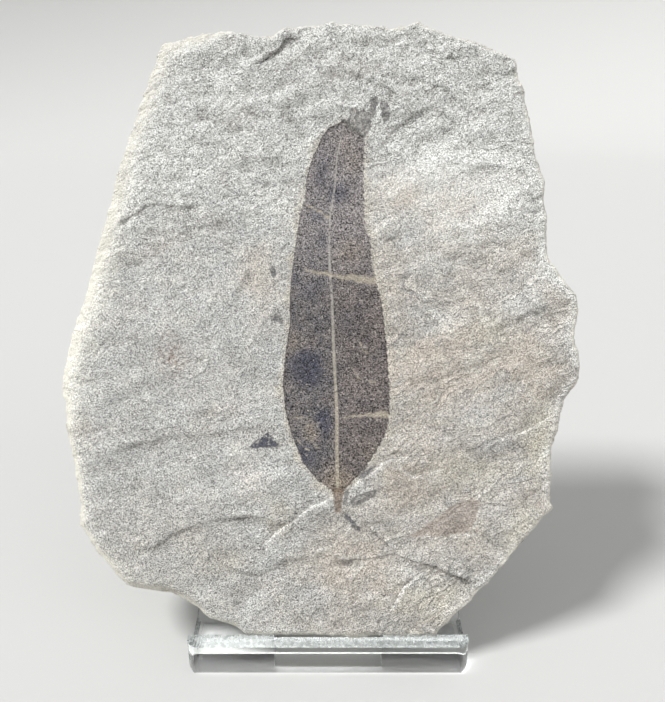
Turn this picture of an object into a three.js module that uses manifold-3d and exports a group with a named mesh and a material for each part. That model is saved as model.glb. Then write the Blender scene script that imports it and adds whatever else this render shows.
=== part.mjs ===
// Fossil leaf plate: a split slab of fine sandy rock that carries a dark leaf compression,
// resting on a small clear acrylic stand. Millimetres, +Z up, seen from the front along +Y.
// Two pieces: the slab with everything that is part of its rock, and the stand.

import * as THREE from 'three';
import { mergeVertices } from 'three/addons/utils/BufferGeometryUtils.js';
import Module from 'manifold-3d';

const wasm = await Module();
wasm.setup();

// Stand: one bent sheet
const SHEET = 4.6;            // thickness of the clear sheet
const STAND_WIDTH = 76;       // across the front lip
const LIP_HEIGHT = 9.7;       // top of the front lip above the table
const LIP_CORNER = 3.4;       // rounding of the lip's ends, in plan and at the table
const LEAN = 22;              // degrees that the back rest and the slab lean back
const TROUGH_END = 15;        // where the back rest leaves the base, measured at the base's top
const REST_LENGTH = 82;       // back rest, up its slope from the base
const REST_TAPER = 0.129;     // each side comes in by this for every mm up the slope
const REST_CORNER = 9;        // rounding of the rest's top corners
const SLOT_HALF = 14.6;       // half width of the slot that the rear leg is cut from
const SLOT_START = 5.4;       // the slot begins just behind the lip
const SLOT_TOP = 60;          // the leg is bent back at this length up the rest
const LEG_HALF = 14.2;        // half width of the rear leg
const LEG_FOOT_Y = 68;        // where the leg meets the table

// Slab: rests in the trough of the stand
const SLAB_FOOT_Y = 3.06;     // front edge of the slab's foot
const SLAB_FOOT_Z = 10.7;
const SLAB_THICK = 13;
const CAP_START = 149;        // above this height the rows bend to follow the top edge
const CHIP_WIDTH = 2.4;       // width of the chipped bevel round the face
const CHIP_DEPTH = 1.5;
const LEAF_SINK = 0.45;       // the leaf lies a little below the rock around it
const MIDRIB_RISE = 0.3;

// The origin is on the table, in the middle of the flat strip under the lip
const ORIGIN_BACK = 3.5;

const radians = (degrees) => degrees * Math.PI / 180;

// Outline of the slab's face, in its own plane: across from the stand's middle, and up from the foot
const LEFT_EDGE = [
  [-22.1, 0], [-25.8, 2.7], [-31.5, 3.8], [-41, 10.4], [-45.2, 11.4], [-50.9, 12.2], [-54.6, 12.9],
  [-63.2, 22.7], [-67.3, 28.8], [-67.8, 30.9], [-67.3, 33.9], [-68.1, 40.9], [-70.8, 55.1],
  [-71.3, 63.5], [-72.1, 65.4], [-71.8, 69.9], [-68.6, 85.3], [-66.2, 90.9], [-57.6, 122.7],
  [-49.8, 148.2], [-45.5, 159.8],
];
const RIGHT_EDGE = [
  [28.8, 0], [29.8, 1.6], [38.5, 9.5], [43.2, 13.9], [51.6, 24.5], [60.8, 34.2], [60, 35.8],
  [60.2, 48.7], [64, 63.5], [67.5, 68.3], [68, 72.4], [66, 80.2], [67.6, 88], [66.7, 92.3],
  [60, 101.1], [58.4, 121.3], [55.8, 130.5], [53, 146.9], [51.4, 150.1], [51.4, 153.9],
];
const TOP_EDGE = [
  [-45.5, 159.8], [-44.1, 160.6], [-34.2, 163], [-28.5, 163.3], [-24, 162.5], [-15.1, 161.7],
  [-11.6, 164.1], [0.3, 165.4], [16.7, 163.8], [23.1, 165.2], [26.4, 164.1], [39.5, 160.1],
  [50.6, 156], [51.4, 153.9],
];

// Leaf, from its base up to its tip
const LEAF_LEFT = [
  [1.8, 38.7], [-2.4, 41.7], [-6.5, 46.5], [-9.7, 54.1], [-11.3, 60.5], [-12.1, 67.2],
  [-10.2, 83.7], [-9.7, 96.8], [-7.3, 114.1], [-5.7, 123.2], [-4, 129], [0.3, 136.7], [4.3, 138.5],
];
const LEAF_RIGHT = [
  [3.8, 38.7], [9.9, 44.9], [13.3, 50], [15.8, 54.9], [16.6, 60.5], [16.1, 75.6], [14.5, 90.4],
  [11.8, 100.1], [10.4, 108.2], [9.6, 121.1], [9.9, 134], [4.3, 138.5],
];
const MIDRIB = [[2.6, 0], [2.6, 33.9], [2.4, 58.9], [0.3, 105.2], [1.8, 120.8], [4.3, 138.5], [4.6, 166]];

// Ledges of the rock face. Each runs from left to right. drop is the height of the broken edge,
// positive where the rock above the line stands higher; reach is how far it takes to level out.
const LEDGES = [
  { drop: 1.1, reach: 7, path: [[-55.4, 111.4], [-49, 115.4], [-37.1, 115.4]] },
  { drop: 0.6, reach: 9, path: [[-50.6, 109.8], [-42.5, 108.9], [-24.8, 113.2]] },
  { drop: 0.8, reach: 8, path: [[-56, 50], [-42.5, 54.1], [-25, 55.4]] },
  { drop: 1.4, reach: 9, path: [[-46.5, 24.5], [-30.4, 31.7], [-21, 32], [-12.4, 30.4]] },
  { drop: 0.9, reach: 6, path: [[-26.9, 18.3], [-21, 16.4], [-12.1, 20.4]] },
  { drop: 1.5, reach: 8, path: [[-7.5, 19.1], [5.4, 20.4], [19.4, 22.6], [29, 18.8], [36.8, 15.6]] },
  { drop: 1.0, reach: 8, path: [[32.8, 71.3], [40.9, 74], [49.2, 82.6]] },
  { drop: -0.8, reach: 8, path: [[30.1, 103.8], [38.2, 93.6], [46.8, 81.8]] },
  { drop: -0.9, reach: 7, path: [[39.5, 103.8], [47.6, 104.1], [58.4, 96.8]] },
  { drop: 1.3, reach: 7, path: [[51.6, 86.3], [58.4, 88.5], [64.3, 90.1]] },
  { drop: 1.0, reach: 8, path: [[20.2, 138.3], [26.1, 142.3], [35.5, 137.5], [38.5, 131.5]] },
  { drop: 0.7, reach: 6, path: [[27.4, 148.5], [38.2, 141.5]] },
  { drop: 0.9, reach: 6, path: [[4.6, 152.3], [18, 146.9], [19.6, 142.6]] },
  { drop: 1.8, reach: 6, path: [[-18.8, 153.9], [-12.1, 158.4], [-11.8, 160.9]] },
  { drop: 0.6, reach: 6, path: [[-31.2, 130.5], [-23.7, 131.8], [-19.4, 129.4]] },
  { drop: 0.7, reach: 5, path: [[-26.1, 90.4], [-23.7, 94.7], [-21.5, 97.9]] },
  { drop: -0.6, reach: 6, path: [[-27.7, 86.3], [-18.8, 87.7], [-13.2, 83.9]] },
  { drop: -1.1, reach: 8, path: [[-17, 25.6], [-7.5, 32.5], [-0.8, 36.3]] },
  { drop: -1.0, reach: 7, path: [[11.6, 42], [18, 48.7], [23.7, 54.1]] },
  { drop: 0.9, reach: 7, path: [[22, 25], [29, 25.8], [34.4, 28.8]] },
  { drop: -0.6, reach: 8, path: [[17.2, 63.2], [26.1, 67.5], [33.3, 69.1]] },
  { drop: -0.8, reach: 7, path: [[46.3, 52.7], [61.3, 59.7]] },
];

const mix = (a, b, t) => a + (b - a) * t;
const clamp01 = (t) => Math.min(1, Math.max(0, t));
const smooth = (t) => { const c = clamp01(t); return c * c * (3 - 2 * c); };

// Across-position of an edge line at one height
function edgeAt(line, height) {
  if (height <= line[0][1]) return line[0][0];
  for (let i = 1; i < line.length; i++) {
    const [x0, y0] = line[i - 1];
    const [x1, y1] = line[i];
    if (height <= y1) return y1 > y0 ? mix(x0, x1, (height - y0) / (y1 - y0)) : x1;
  }
  return line[line.length - 1][0];
}

// Point at a fraction of a line's own length
function along(line, t) {
  const spans = line.slice(1).map((p, i) => Math.hypot(p[0] - line[i][0], p[1] - line[i][1]));
  let left = clamp01(t) * spans.reduce((a, b) => a + b, 0);
  for (let i = 0; i < spans.length; i++) {
    if (left <= spans[i]) {
      const k = left / spans[i];
      return [mix(line[i][0], line[i + 1][0], k), mix(line[i][1], line[i + 1][1], k)];
    }
    left -= spans[i];
  }
  return line[line.length - 1];
}

// Signed distance to a line, positive above it, and how far past its ends the point lies
function lineDistance(line, u, s) {
  let best = { gap: Infinity, side: 1, past: 0 };
  for (let i = 1; i < line.length; i++) {
    const [x0, y0] = line[i - 1];
    const dx = line[i][0] - x0;
    const dy = line[i][1] - y0;
    const length = Math.hypot(dx, dy);
    const t = ((u - x0) * dx + (s - y0) * dy) / (length * length);
    const k = clamp01(t);
    const gap = Math.hypot(u - x0 - k * dx, s - y0 - k * dy);
    if (gap < best.gap) {
      const ends = (i === 1 && t < 0) || (i === line.length - 1 && t > 1);
      const side = dx * (s - y0) - dy * (u - x0) >= 0 ? 1 : -1;
      best = { gap, side, past: ends ? Math.abs(t - k) * length : 0 };
    }
  }
  return best;
}

// Height of the rock face over its mean plane
function faceHeight(u, s) {
  let h = 0.45 * Math.sin(0.062 * u - 0.118 * s + 0.6);
  h += 0.3 * Math.sin(0.171 * u - 0.243 * s + 2.1) * smooth((u + 5) / 25);
  h += 0.25 * Math.sin(0.31 * u + 0.19 * s) * Math.sin(0.13 * s - 0.07 * u + 1);
  h += 0.35 * Math.sin(0.55 * u + 1.7) * Math.sin(0.61 * s) * smooth((s - 128) / 20);
  for (const ledge of LEDGES) {
    const { gap, side, past } = lineDistance(ledge.path, u, s);
    if (gap > 3 * ledge.reach) continue;
    const fade = Math.exp(-((gap / ledge.reach) ** 2)) * Math.exp(-past / 2);
    h += ledge.drop * fade * (side > 0 ? 0.55 : -0.45);
  }
  return h;
}

// Height of the broken back over its mean plane, always towards the face
function backHeight(u, s) {
  const wave = Math.sin(0.075 * u + 0.052 * s + 0.8) + Math.sin(0.041 * u - 0.09 * s + 2.2);
  const rough = 0.5 * Math.sin(0.36 * u + 0.9) * Math.sin(0.29 * s + 0.3);
  const shelf = 1.3 * smooth((0.35 * u + s - 128) / 3) + 1.1 * smooth((-0.5 * u - s + 2) / 4);
  return Math.max(0, 0.75 + 0.38 * wave + rough) + shelf + 0.9 * smooth((Math.abs(u) - 45) / 18);
}

// Rows of points up the face. Every row runs left edge, chipped bevel, rock, leaf, rock, right edge.
const LEFT_STEPS = 16;
const LEAF_STEPS = 4;
const RIGHT_STEPS = 15;

function rowAcross(left, right, height) {
  const inside = smooth((height - 37) / 2) * (1 - smooth((height - 138.5) / 2));
  const axis = edgeAt(MIDRIB, height);
  const leafLeft = Math.min(edgeAt(LEAF_LEFT, height), axis - 0.9);
  const leafRight = Math.max(edgeAt(LEAF_RIGHT, height), axis + 0.9);
  const across = [[left, 0], [left + CHIP_WIDTH, 0]];
  for (let i = 1; i < LEFT_STEPS; i++) {
    across.push([mix(left + CHIP_WIDTH, leafLeft - 0.5, i / LEFT_STEPS), 0]);
  }
  across.push([leafLeft - 0.5, 0]);
  for (let i = 0; i <= LEAF_STEPS; i++) {
    across.push([mix(leafLeft, axis, i / LEAF_STEPS), -LEAF_SINK * inside]);
  }
  across[across.length - 1][1] += MIDRIB_RISE * inside;
  for (let i = 1; i <= LEAF_STEPS; i++) {
    across.push([mix(axis, leafRight, i / LEAF_STEPS), -LEAF_SINK * inside]);
  }
  across.push([leafRight + 0.5, 0]);
  for (let i = 1; i < RIGHT_STEPS; i++) {
    across.push([mix(leafRight + 0.5, right - CHIP_WIDTH, i / RIGHT_STEPS), 0]);
  }
  across.push([right - CHIP_WIDTH, 0], [right, 0]);
  return across;
}

// Rows: close together over the narrow foot, even over the body, then a cap under the top edge
const rowHeights = [0, 1.4, 3, 4.8, 6.8, 9, 11.2, 13.4];
while (rowHeights[rowHeights.length - 1] < CAP_START - 3) {
  rowHeights.push(rowHeights[rowHeights.length - 1] + 2.42);
}
rowHeights.push(CAP_START);
const CAP_ROWS = 5;

function facePoint(u, s, sink, nearEdge) {
  const chip = CHIP_DEPTH * (0.65 + 0.35 * Math.sin(0.9 * s + 0.5 * u) * Math.sin(0.37 * s));
  return [u, s, faceHeight(u, s) + sink - (nearEdge ? chip : 0)];
}

const grid = rowHeights.map((s, r) => {
  const row = rowAcross(edgeAt(LEFT_EDGE, s), edgeAt(RIGHT_EDGE, s), s);
  const lift = r === 0 ? -0.7 * Math.exp(-(((row.length - 1) / 2 - 4) ** 2)) : 0;
  return row.map(([u, sink], c) => {
    const nearEdge = c === 0 || c === row.length - 1 || r === 0;
    return facePoint(u, s + lift, sink, nearEdge);
  });
});
const capBase = rowAcross(edgeAt(LEFT_EDGE, CAP_START), edgeAt(RIGHT_EDGE, CAP_START), CAP_START);
const capLeft = [capBase[0][0], capBase[capBase.length - 1][0]];
const leftSide = [[capLeft[0], CAP_START], ...LEFT_EDGE.filter((p) => p[1] > CAP_START)];
const rightSide = [[capLeft[1], CAP_START], ...RIGHT_EDGE.filter((p) => p[1] > CAP_START)];
for (let r = 1; r <= CAP_ROWS; r++) {
  const v = r === CAP_ROWS ? 1 : (r / CAP_ROWS) * 0.96;
  const [lx, ly] = along(leftSide, v);
  const [rx, ry] = along(rightSide, v);
  grid.push(capBase.map(([u0], c) => {
    const t = (u0 - capLeft[0]) / (capLeft[1] - capLeft[0]);
    const top = along(TOP_EDGE, t);
    const corners = [mix(TOP_EDGE[0][0], TOP_EDGE.at(-1)[0], t), mix(TOP_EDGE[0][1], TOP_EDGE.at(-1)[1], t)];
    const u = mix(lx, rx, t) + v * (top[0] - corners[0]);
    const s = mix(ly, ry, t) + v * (top[1] - corners[1]);
    const nearEdge = c === 0 || c === capBase.length - 1 || r === CAP_ROWS;
    return facePoint(u, s, 0, nearEdge);
  }));
}

// Closed solid: face, broken sides with one ridge line, and a back with half as many rows
function slabGeometry() {
  const rows = grid.length;
  const cols = grid[0].length;
  const points = [];
  const triangles = [];
  const add = (p) => points.push(p) - 1;
  const quad = (a, b, c, d) => triangles.push([a, b, c], [a, c, d]);
  const face = grid.map((row) => row.map(add));
  for (let r = 0; r + 1 < rows; r++) {
    for (let c = 0; c + 1 < cols; c++) {
      if ((r + c) % 2) quad(face[r][c], face[r][c + 1], face[r + 1][c + 1], face[r + 1][c]);
      else quad(face[r][c + 1], face[r + 1][c + 1], face[r + 1][c], face[r][c]);
    }
  }
  // Rim as a loop of grid places, anticlockwise as seen from the front
  const rim = [];
  for (let c = 0; c < cols - 1; c++) rim.push([0, c]);
  for (let r = 0; r < rows - 1; r++) rim.push([r, cols - 1]);
  for (let c = cols - 1; c > 0; c--) rim.push([rows - 1, c]);
  for (let r = rows - 1; r > 0; r--) rim.push([r, 0]);
  const centre = [0, 82];
  const shifted = (u, s, out, depth) => {
    const reach = Math.hypot(u - centre[0], s - centre[1]);
    const k = out / reach;
    return [u + (u - centre[0]) * k, s + (s - centre[1]) * k, depth];
  };
  const broken = (u, s) => Math.sin(0.42 * u + 0.9) * Math.sin(0.33 * s + 0.2) + 0.6 * Math.sin(0.9 * (u + s));
  const ridge = rim.map(([r, c]) => {
    const [u, s] = grid[r][c];
    const foot = smooth((s - 2) / 8);
    return add(shifted(u, s, foot * (0.2 + 0.7 * broken(u, s)), -SLAB_THICK * (0.42 + 0.12 * broken(s, u))));
  });
  // Back grid: every second row and column, drawn in from the rim by the slant of the broken sides
  const pick = (n) => {
    const list = [];
    for (let i = 0; i < n - 1; i += 2) list.push(i);
    list.push(n - 1);
    return list;
  };
  const backRows = pick(rows);
  const backCols = pick(cols);
  const back = backRows.map((r) => backCols.map((c) => {
    const [u, s] = grid[r][c];
    const edge = r === 0 || r === rows - 1 || c === 0 || c === cols - 1;
    const inward = edge ? -(0.9 + 0.8 * broken(s, u)) * smooth((s - 2) / 8) : 0;
    const depth = -SLAB_THICK + backHeight(u, s) + (edge ? 0.6 : 0);
    const low = r === 0 ? -1.3 : 0;
    const p = shifted(u, s, inward, depth);
    return add([p[0], p[1] + low, p[2]]);
  }));
  for (let r = 0; r + 1 < back.length; r++) {
    for (let c = 0; c + 1 < back[0].length; c++) {
      quad(back[r][c], back[r + 1][c], back[r + 1][c + 1], back[r][c + 1]);
    }
  }
  // Sides: face rim to ridge, ridge to the coarser back rim
  const backPlace = (r, c) => {
    const i = backRows.indexOf(r);
    const j = backCols.indexOf(c);
    return i < 0 || j < 0 ? -1 : back[i][j];
  };
  const count = rim.length;
  const backRim = rim.map(([r, c]) => backPlace(r, c));
  for (let i = 0; i < count; i++) {
    const j = (i + 1) % count;
    const a = face[rim[i][0]][rim[i][1]];
    const b = face[rim[j][0]][rim[j][1]];
    quad(a, ridge[i], ridge[j], b);
  }
  const held = backRim.map((v, i) => {
    let k = i;
    while (backRim[k] < 0) k = (k + count - 1) % count;
    return backRim[k];
  });
  for (let i = 0; i < count; i++) {
    const j = (i + 1) % count;
    if (held[i] === held[j]) triangles.push([ridge[i], held[i], ridge[j]]);
    else quad(ridge[i], held[i], held[j], ridge[j]);
  }
  const geometry = new THREE.BufferGeometry();
  geometry.setAttribute('position', new THREE.Float32BufferAttribute(points.flat(), 3));
  geometry.setIndex(triangles.flat());
  return geometry;
}

// Solids for cutting and joining
function toSolid(geometry) {
  const bare = geometry.clone();
  bare.deleteAttribute('normal');
  bare.deleteAttribute('uv');
  const merged = mergeVertices(bare, 1e-4);
  return new wasm.Manifold(new wasm.Mesh({
    numProp: 3,
    vertProperties: new Float32Array(merged.attributes.position.array),
    triVerts: new Uint32Array(merged.index.array),
  }));
}

function toGeometry(solid) {
  const mesh = solid.getMesh();
  const geometry = new THREE.BufferGeometry();
  geometry.setAttribute('position', new THREE.BufferAttribute(mesh.vertProperties, 3));
  geometry.setIndex(new THREE.BufferAttribute(mesh.triVerts, 1));
  const sharp = geometry.toNonIndexed();
  sharp.computeVertexNormals();
  return sharp;
}

const extrude = (shape, depth, steps = 8) => new THREE.ExtrudeGeometry(shape, {
  depth, bevelEnabled: false, curveSegments: steps,
});

// Side profile drawn as (back, up), pushed out across the width
function acrossWidth(shape, width) {
  const geometry = extrude(shape, width);
  geometry.applyMatrix4(new THREE.Matrix4().makeBasis(
    new THREE.Vector3(0, 1, 0), new THREE.Vector3(0, 0, 1), new THREE.Vector3(1, 0, 0),
  ));
  geometry.translate(-width / 2, 0, 0);
  return toSolid(geometry);
}

function roundedBox(width, height, radii) {
  const [bottom, top] = radii;
  const w = width / 2;
  const shape = new THREE.Shape();
  shape.moveTo(-w + bottom, 0);
  shape.lineTo(w - bottom, 0);
  if (bottom) shape.absarc(w - bottom, bottom, bottom, -Math.PI / 2, 0, false);
  shape.lineTo(w, height - top);
  if (top) shape.absarc(w - top, height - top, top, 0, Math.PI / 2, false);
  shape.lineTo(-w + top, height);
  if (top) shape.absarc(-w + top, height - top, top, Math.PI / 2, Math.PI, false);
  shape.lineTo(-w, bottom);
  if (bottom) shape.absarc(-w + bottom, bottom, bottom, Math.PI, Math.PI * 1.5, false);
  return shape;
}

const sinLean = Math.sin(radians(LEAN));
const cosLean = Math.cos(radians(LEAN));

// A point on the rest: how far up its slope, and how far behind its front face
const onRest = (up, behind) => [
  TROUGH_END + up * sinLean + behind * cosLean,
  SHEET + up * cosLean - behind * sinLean,
];

// Lip, base and back rest as one bent sheet, seen from the side
function sheetProfile() {
  const heel = onRest(0, SHEET);
  const heelY = heel[0] - heel[1] * sinLean / cosLean;
  const shape = new THREE.Shape();
  shape.moveTo(1.6, 0);
  shape.lineTo(heelY - 2.5, 0);
  shape.quadraticCurveTo(heelY, 0, ...onRest(1, SHEET));
  shape.lineTo(...onRest(REST_LENGTH, SHEET));
  shape.lineTo(...onRest(REST_LENGTH, 0));
  shape.lineTo(...onRest(1.6, 0));
  shape.quadraticCurveTo(TROUGH_END, SHEET, TROUGH_END - 1.6, SHEET);
  shape.lineTo(SHEET + 1.2, SHEET);
  shape.quadraticCurveTo(SHEET, SHEET, SHEET, SHEET + 1.2);
  shape.lineTo(SHEET, LIP_HEIGHT);
  shape.lineTo(0, LIP_HEIGHT);
  shape.lineTo(0, 1.6);
  shape.quadraticCurveTo(0, 0, 1.6, 0);
  return shape;
}

// Outline of the rest as seen square on, cut out of the bent sheet above the base
function restOutline() {
  const half = STAND_WIDTH / 2;
  const topHalf = half - REST_TAPER * REST_LENGTH;
  const shape = new THREE.Shape();
  shape.moveTo(-half, -30);
  shape.lineTo(half, -30);
  shape.lineTo(half, 0);
  shape.lineTo(topHalf + REST_TAPER * REST_CORNER, REST_LENGTH - REST_CORNER);
  shape.quadraticCurveTo(topHalf, REST_LENGTH, topHalf - REST_CORNER, REST_LENGTH);
  shape.lineTo(-topHalf + REST_CORNER, REST_LENGTH);
  shape.quadraticCurveTo(-topHalf, REST_LENGTH, -topHalf - REST_TAPER * REST_CORNER, REST_LENGTH - REST_CORNER);
  shape.lineTo(-half, 0);
  return shape;
}

// Push a square-on outline through the sloping rest
function throughRest(shape) {
  const geometry = extrude(shape, 60);
  geometry.translate(0, 0, -30);
  geometry.applyMatrix4(new THREE.Matrix4().makeBasis(
    new THREE.Vector3(1, 0, 0), new THREE.Vector3(0, sinLean, cosLean), new THREE.Vector3(0, -cosLean, sinLean),
  ));
  geometry.translate(0, TROUGH_END, SHEET);
  return toSolid(geometry);
}

function standSolid() {
  let sheet = acrossWidth(sheetProfile(), STAND_WIDTH);

  // Rounded ends of the lip: in plan, and where the ends meet the table
  const plan = extrude(roundedBox(STAND_WIDTH, 120, [LIP_CORNER, 0]), 120);
  const front = extrude(roundedBox(STAND_WIDTH, 120, [LIP_CORNER, 0]), 120);
  front.rotateX(Math.PI / 2);
  front.translate(0, 120, 0);
  sheet = sheet.intersect(toSolid(plan)).intersect(toSolid(front)).intersect(throughRest(restOutline()));

  // Slot that the leg leaves in the rest, through the bend and into the base behind the lip
  const slotBelow = toSolid(new THREE.BoxGeometry(2 * SLOT_HALF, 40, 30).translate(0, SLOT_START + 20, -1));
  const slotAbove = throughRest(roundedBox(2 * SLOT_HALF, SLOT_TOP, [0, 0]));
  sheet = sheet.subtract(slotBelow.add(slotAbove));

  // Rear leg: springs from the rest at the top of the slot and runs down to the table
  const spring = onRest(SLOT_TOP, SHEET * 0.5);
  const run = [LEG_FOOT_Y - spring[0], -spring[1]];
  const length = Math.hypot(...run);
  const out = [-run[1] / length * SHEET, run[0] / length * SHEET];
  const leg = new THREE.Shape();
  leg.moveTo(...onRest(SLOT_TOP - 0.4, 0.2));
  leg.lineTo(spring[0], spring[1] - 3);
  leg.lineTo(LEG_FOOT_Y - SHEET * 1.1, 0);
  leg.lineTo(LEG_FOOT_Y, 0);
  leg.lineTo(LEG_FOOT_Y + 0.3, 1.2);
  leg.lineTo(spring[0] + out[0] * 0.9, spring[1] + out[1] * 0.9);
  leg.lineTo(...onRest(SLOT_TOP + 4, SHEET * 0.6));
  leg.lineTo(...onRest(SLOT_TOP + 4, 0.3));
  return sheet.add(acrossWidth(leg, 2 * LEG_HALF));
}

const slab = new THREE.Mesh(slabGeometry(), new THREE.MeshStandardMaterial({
  color: 0xa9a399, roughness: 0.95, metalness: 0, flatShading: true,
}));
slab.name = 'fossil_slab';
slab.geometry.computeVertexNormals();
slab.rotation.x = radians(90 - LEAN);
slab.position.set(0, SLAB_FOOT_Y - ORIGIN_BACK, SLAB_FOOT_Z);

const stand = new THREE.Mesh(toGeometry(standSolid()), new THREE.MeshStandardMaterial({
  color: 0xdfe6e6, roughness: 0.08, metalness: 0, transparent: true, opacity: 0.35,
}));
stand.name = 'display_stand';
stand.position.y = -ORIGIN_BACK;

const group = new THREE.Group();
group.add(slab, stand);
export default group;
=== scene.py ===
"""A split slab of sandy rock with a dark leaf compression, resting on a small clear stand.

The frame is in metres. The slab is measured in millimetres in its own plane: u across from the
stand's middle, s up the slope from its foot, h out of its face towards the viewer. Capital U, S
and H are those measures for every point of the face.
"""

import math

import bmesh
import bpy
import numpy as np
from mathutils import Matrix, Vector


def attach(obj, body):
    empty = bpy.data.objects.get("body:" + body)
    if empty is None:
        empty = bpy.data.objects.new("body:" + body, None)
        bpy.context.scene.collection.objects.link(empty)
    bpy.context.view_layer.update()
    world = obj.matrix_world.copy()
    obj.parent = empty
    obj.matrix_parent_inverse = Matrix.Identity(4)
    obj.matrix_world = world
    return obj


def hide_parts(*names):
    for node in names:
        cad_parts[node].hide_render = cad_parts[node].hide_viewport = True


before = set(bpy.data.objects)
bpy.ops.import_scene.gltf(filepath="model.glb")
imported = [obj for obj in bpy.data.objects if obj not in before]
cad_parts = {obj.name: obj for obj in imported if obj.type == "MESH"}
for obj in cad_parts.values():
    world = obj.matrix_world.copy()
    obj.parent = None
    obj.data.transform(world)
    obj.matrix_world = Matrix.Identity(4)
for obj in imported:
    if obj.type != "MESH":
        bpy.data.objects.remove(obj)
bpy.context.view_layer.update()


# Fossil slab
# One broken piece of fine sandy rock, split along its bedding, with the flattened leaf on the
# split face. The face has low ledges, the rim is chipped, and the back and sides are rough. It
# stands loose on the stand's base, leaning on the back rest.

# Lean back from upright, the place of the foot's front edge (back and up in the frame), the
# thickness, how far the foot's back edge hangs below, and the height that the sides spread from
LEAN = math.radians(22)
FOOT = (-0.44, 10.7)
THICK = 13.0
FOOT_DROP = 1.3
MID_HEIGHT = 82

# The broken outline, the leaf's margins and its midrib, each from the bottom or the left
LEFT_EDGE = np.array([
    (-22.1, 0.0), (-24.2, 1.5), (-25.8, 2.7), (-29.1, 3.5), (-31.5, 3.8), (-35.3, 6.7), (-38.5, 8.6),
    (-41.0, 10.4), (-45.2, 11.5), (-48.4, 11.7), (-50.9, 12.3), (-54.6, 12.9), (-59.5, 18.3),
    (-63.2, 22.7), (-65.4, 26.4), (-67.3, 28.8), (-67.8, 30.9), (-67.3, 33.9), (-68.2, 39.3),
    (-68.1, 40.9), (-69.4, 48.2), (-70.8, 55.1), (-70.8, 58.1), (-71.3, 63.5), (-72.1, 65.4),
    (-71.8, 69.9), (-70.0, 79.9), (-68.6, 85.3), (-66.2, 90.9), (-64.8, 96.3), (-62.7, 104.1),
    (-61.2, 109.9), (-58.9, 117.0), (-57.6, 122.7), (-53.3, 136.9), (-51.1, 143.6), (-49.8, 148.2),
    (-47.1, 154.9), (-46.0, 158.7), (-45.5, 159.8),
])
RIGHT_EDGE = np.array([
    (28.8, 0.0), (29.8, 1.6), (31.7, 3.0), (33.9, 5.4), (36.3, 7.8), (38.5, 9.5), (40.5, 12.1),
    (43.0, 13.7), (43.3, 14.5), (47.9, 19.9), (51.6, 24.5), (55.3, 28.0), (57.8, 31.5), (60.2, 33.4),
    (60.8, 34.2), (60.0, 35.8), (59.8, 37.9), (60.2, 42.9), (60.2, 48.7), (61.1, 52.5), (62.1, 54.9),
    (62.7, 58.9), (64.0, 63.5), (65.4, 65.4), (67.5, 68.3), (68.0, 72.4), (67.7, 73.7), (67.5, 76.7),
    (66.7, 78.3), (66.0, 80.2), (66.9, 83.1), (67.5, 87.2), (67.5, 90.1), (66.7, 92.3), (64.6, 94.7),
    (62.9, 97.1), (60.0, 101.1), (59.6, 102.5), (59.3, 108.7), (59.2, 113.2), (58.4, 117.6),
    (58.4, 121.3), (57.6, 124.3), (55.8, 130.5), (55.4, 134.1), (54.5, 139.1), (53.5, 143.9),
    (53.0, 146.9), (51.4, 150.1), (51.4, 153.9),
])
TOP_EDGE = np.array([
    (-45.5, 159.8), (-44.1, 160.6), (-41.7, 160.9), (-38.2, 162.2), (-34.2, 163.0), (-31.2, 162.7),
    (-28.5, 163.3), (-25.0, 162.5), (-23.7, 162.7), (-20.5, 161.9), (-15.1, 161.7), (-13.2, 162.7),
    (-11.6, 164.1), (-8.6, 164.1), (-3.8, 164.6), (0.3, 165.4), (8.9, 164.4), (16.7, 163.8),
    (20.4, 164.0), (22.0, 164.6), (23.1, 165.2), (24.6, 165.2), (26.4, 164.1), (32.0, 162.2),
    (39.5, 160.1), (47.3, 157.1), (50.6, 156.0), (51.4, 153.9),
])
LEAF_LEFT = np.array([
    (1.8, 38.7), (1.0, 39.5), (-2.4, 41.7), (-6.5, 46.5), (-9.7, 54.1), (-11.3, 60.5), (-12.1, 67.2),
    (-11.3, 76.4), (-10.2, 83.7), (-10.0, 92.0), (-9.7, 96.8), (-8.6, 105.2), (-7.3, 114.1),
    (-6.0, 117.6), (-5.7, 123.2), (-4.0, 129.0), (-1.6, 134.0), (0.3, 136.7), (1.9, 137.2),
    (4.3, 138.5),
])
LEAF_RIGHT = np.array([
    (3.8, 38.7), (5.9, 40.9), (9.9, 44.9), (13.3, 50.0), (15.8, 54.9), (16.6, 60.5), (16.6, 67.2),
    (16.1, 75.6), (15.3, 83.7), (14.5, 90.4), (12.9, 95.2), (11.8, 100.1), (11.4, 107.3), (10.2, 108.7),
    (9.8, 113.5), (9.6, 121.1), (9.8, 125.9), (9.9, 134.0), (4.3, 138.5),
])
MIDRIB = np.array([
    (2.6, 33.9), (2.6, 39.3), (2.4, 50.8), (2.4, 58.9), (2.0, 67.2), (1.6, 75.5), (1.3, 83.7),
    (1.0, 92.0), (0.5, 98.5), (0.3, 105.2), (0.5, 112.4), (1.8, 120.8), (2.4, 129.0), (3.5, 134.0),
    (4.3, 138.5),
])

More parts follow.
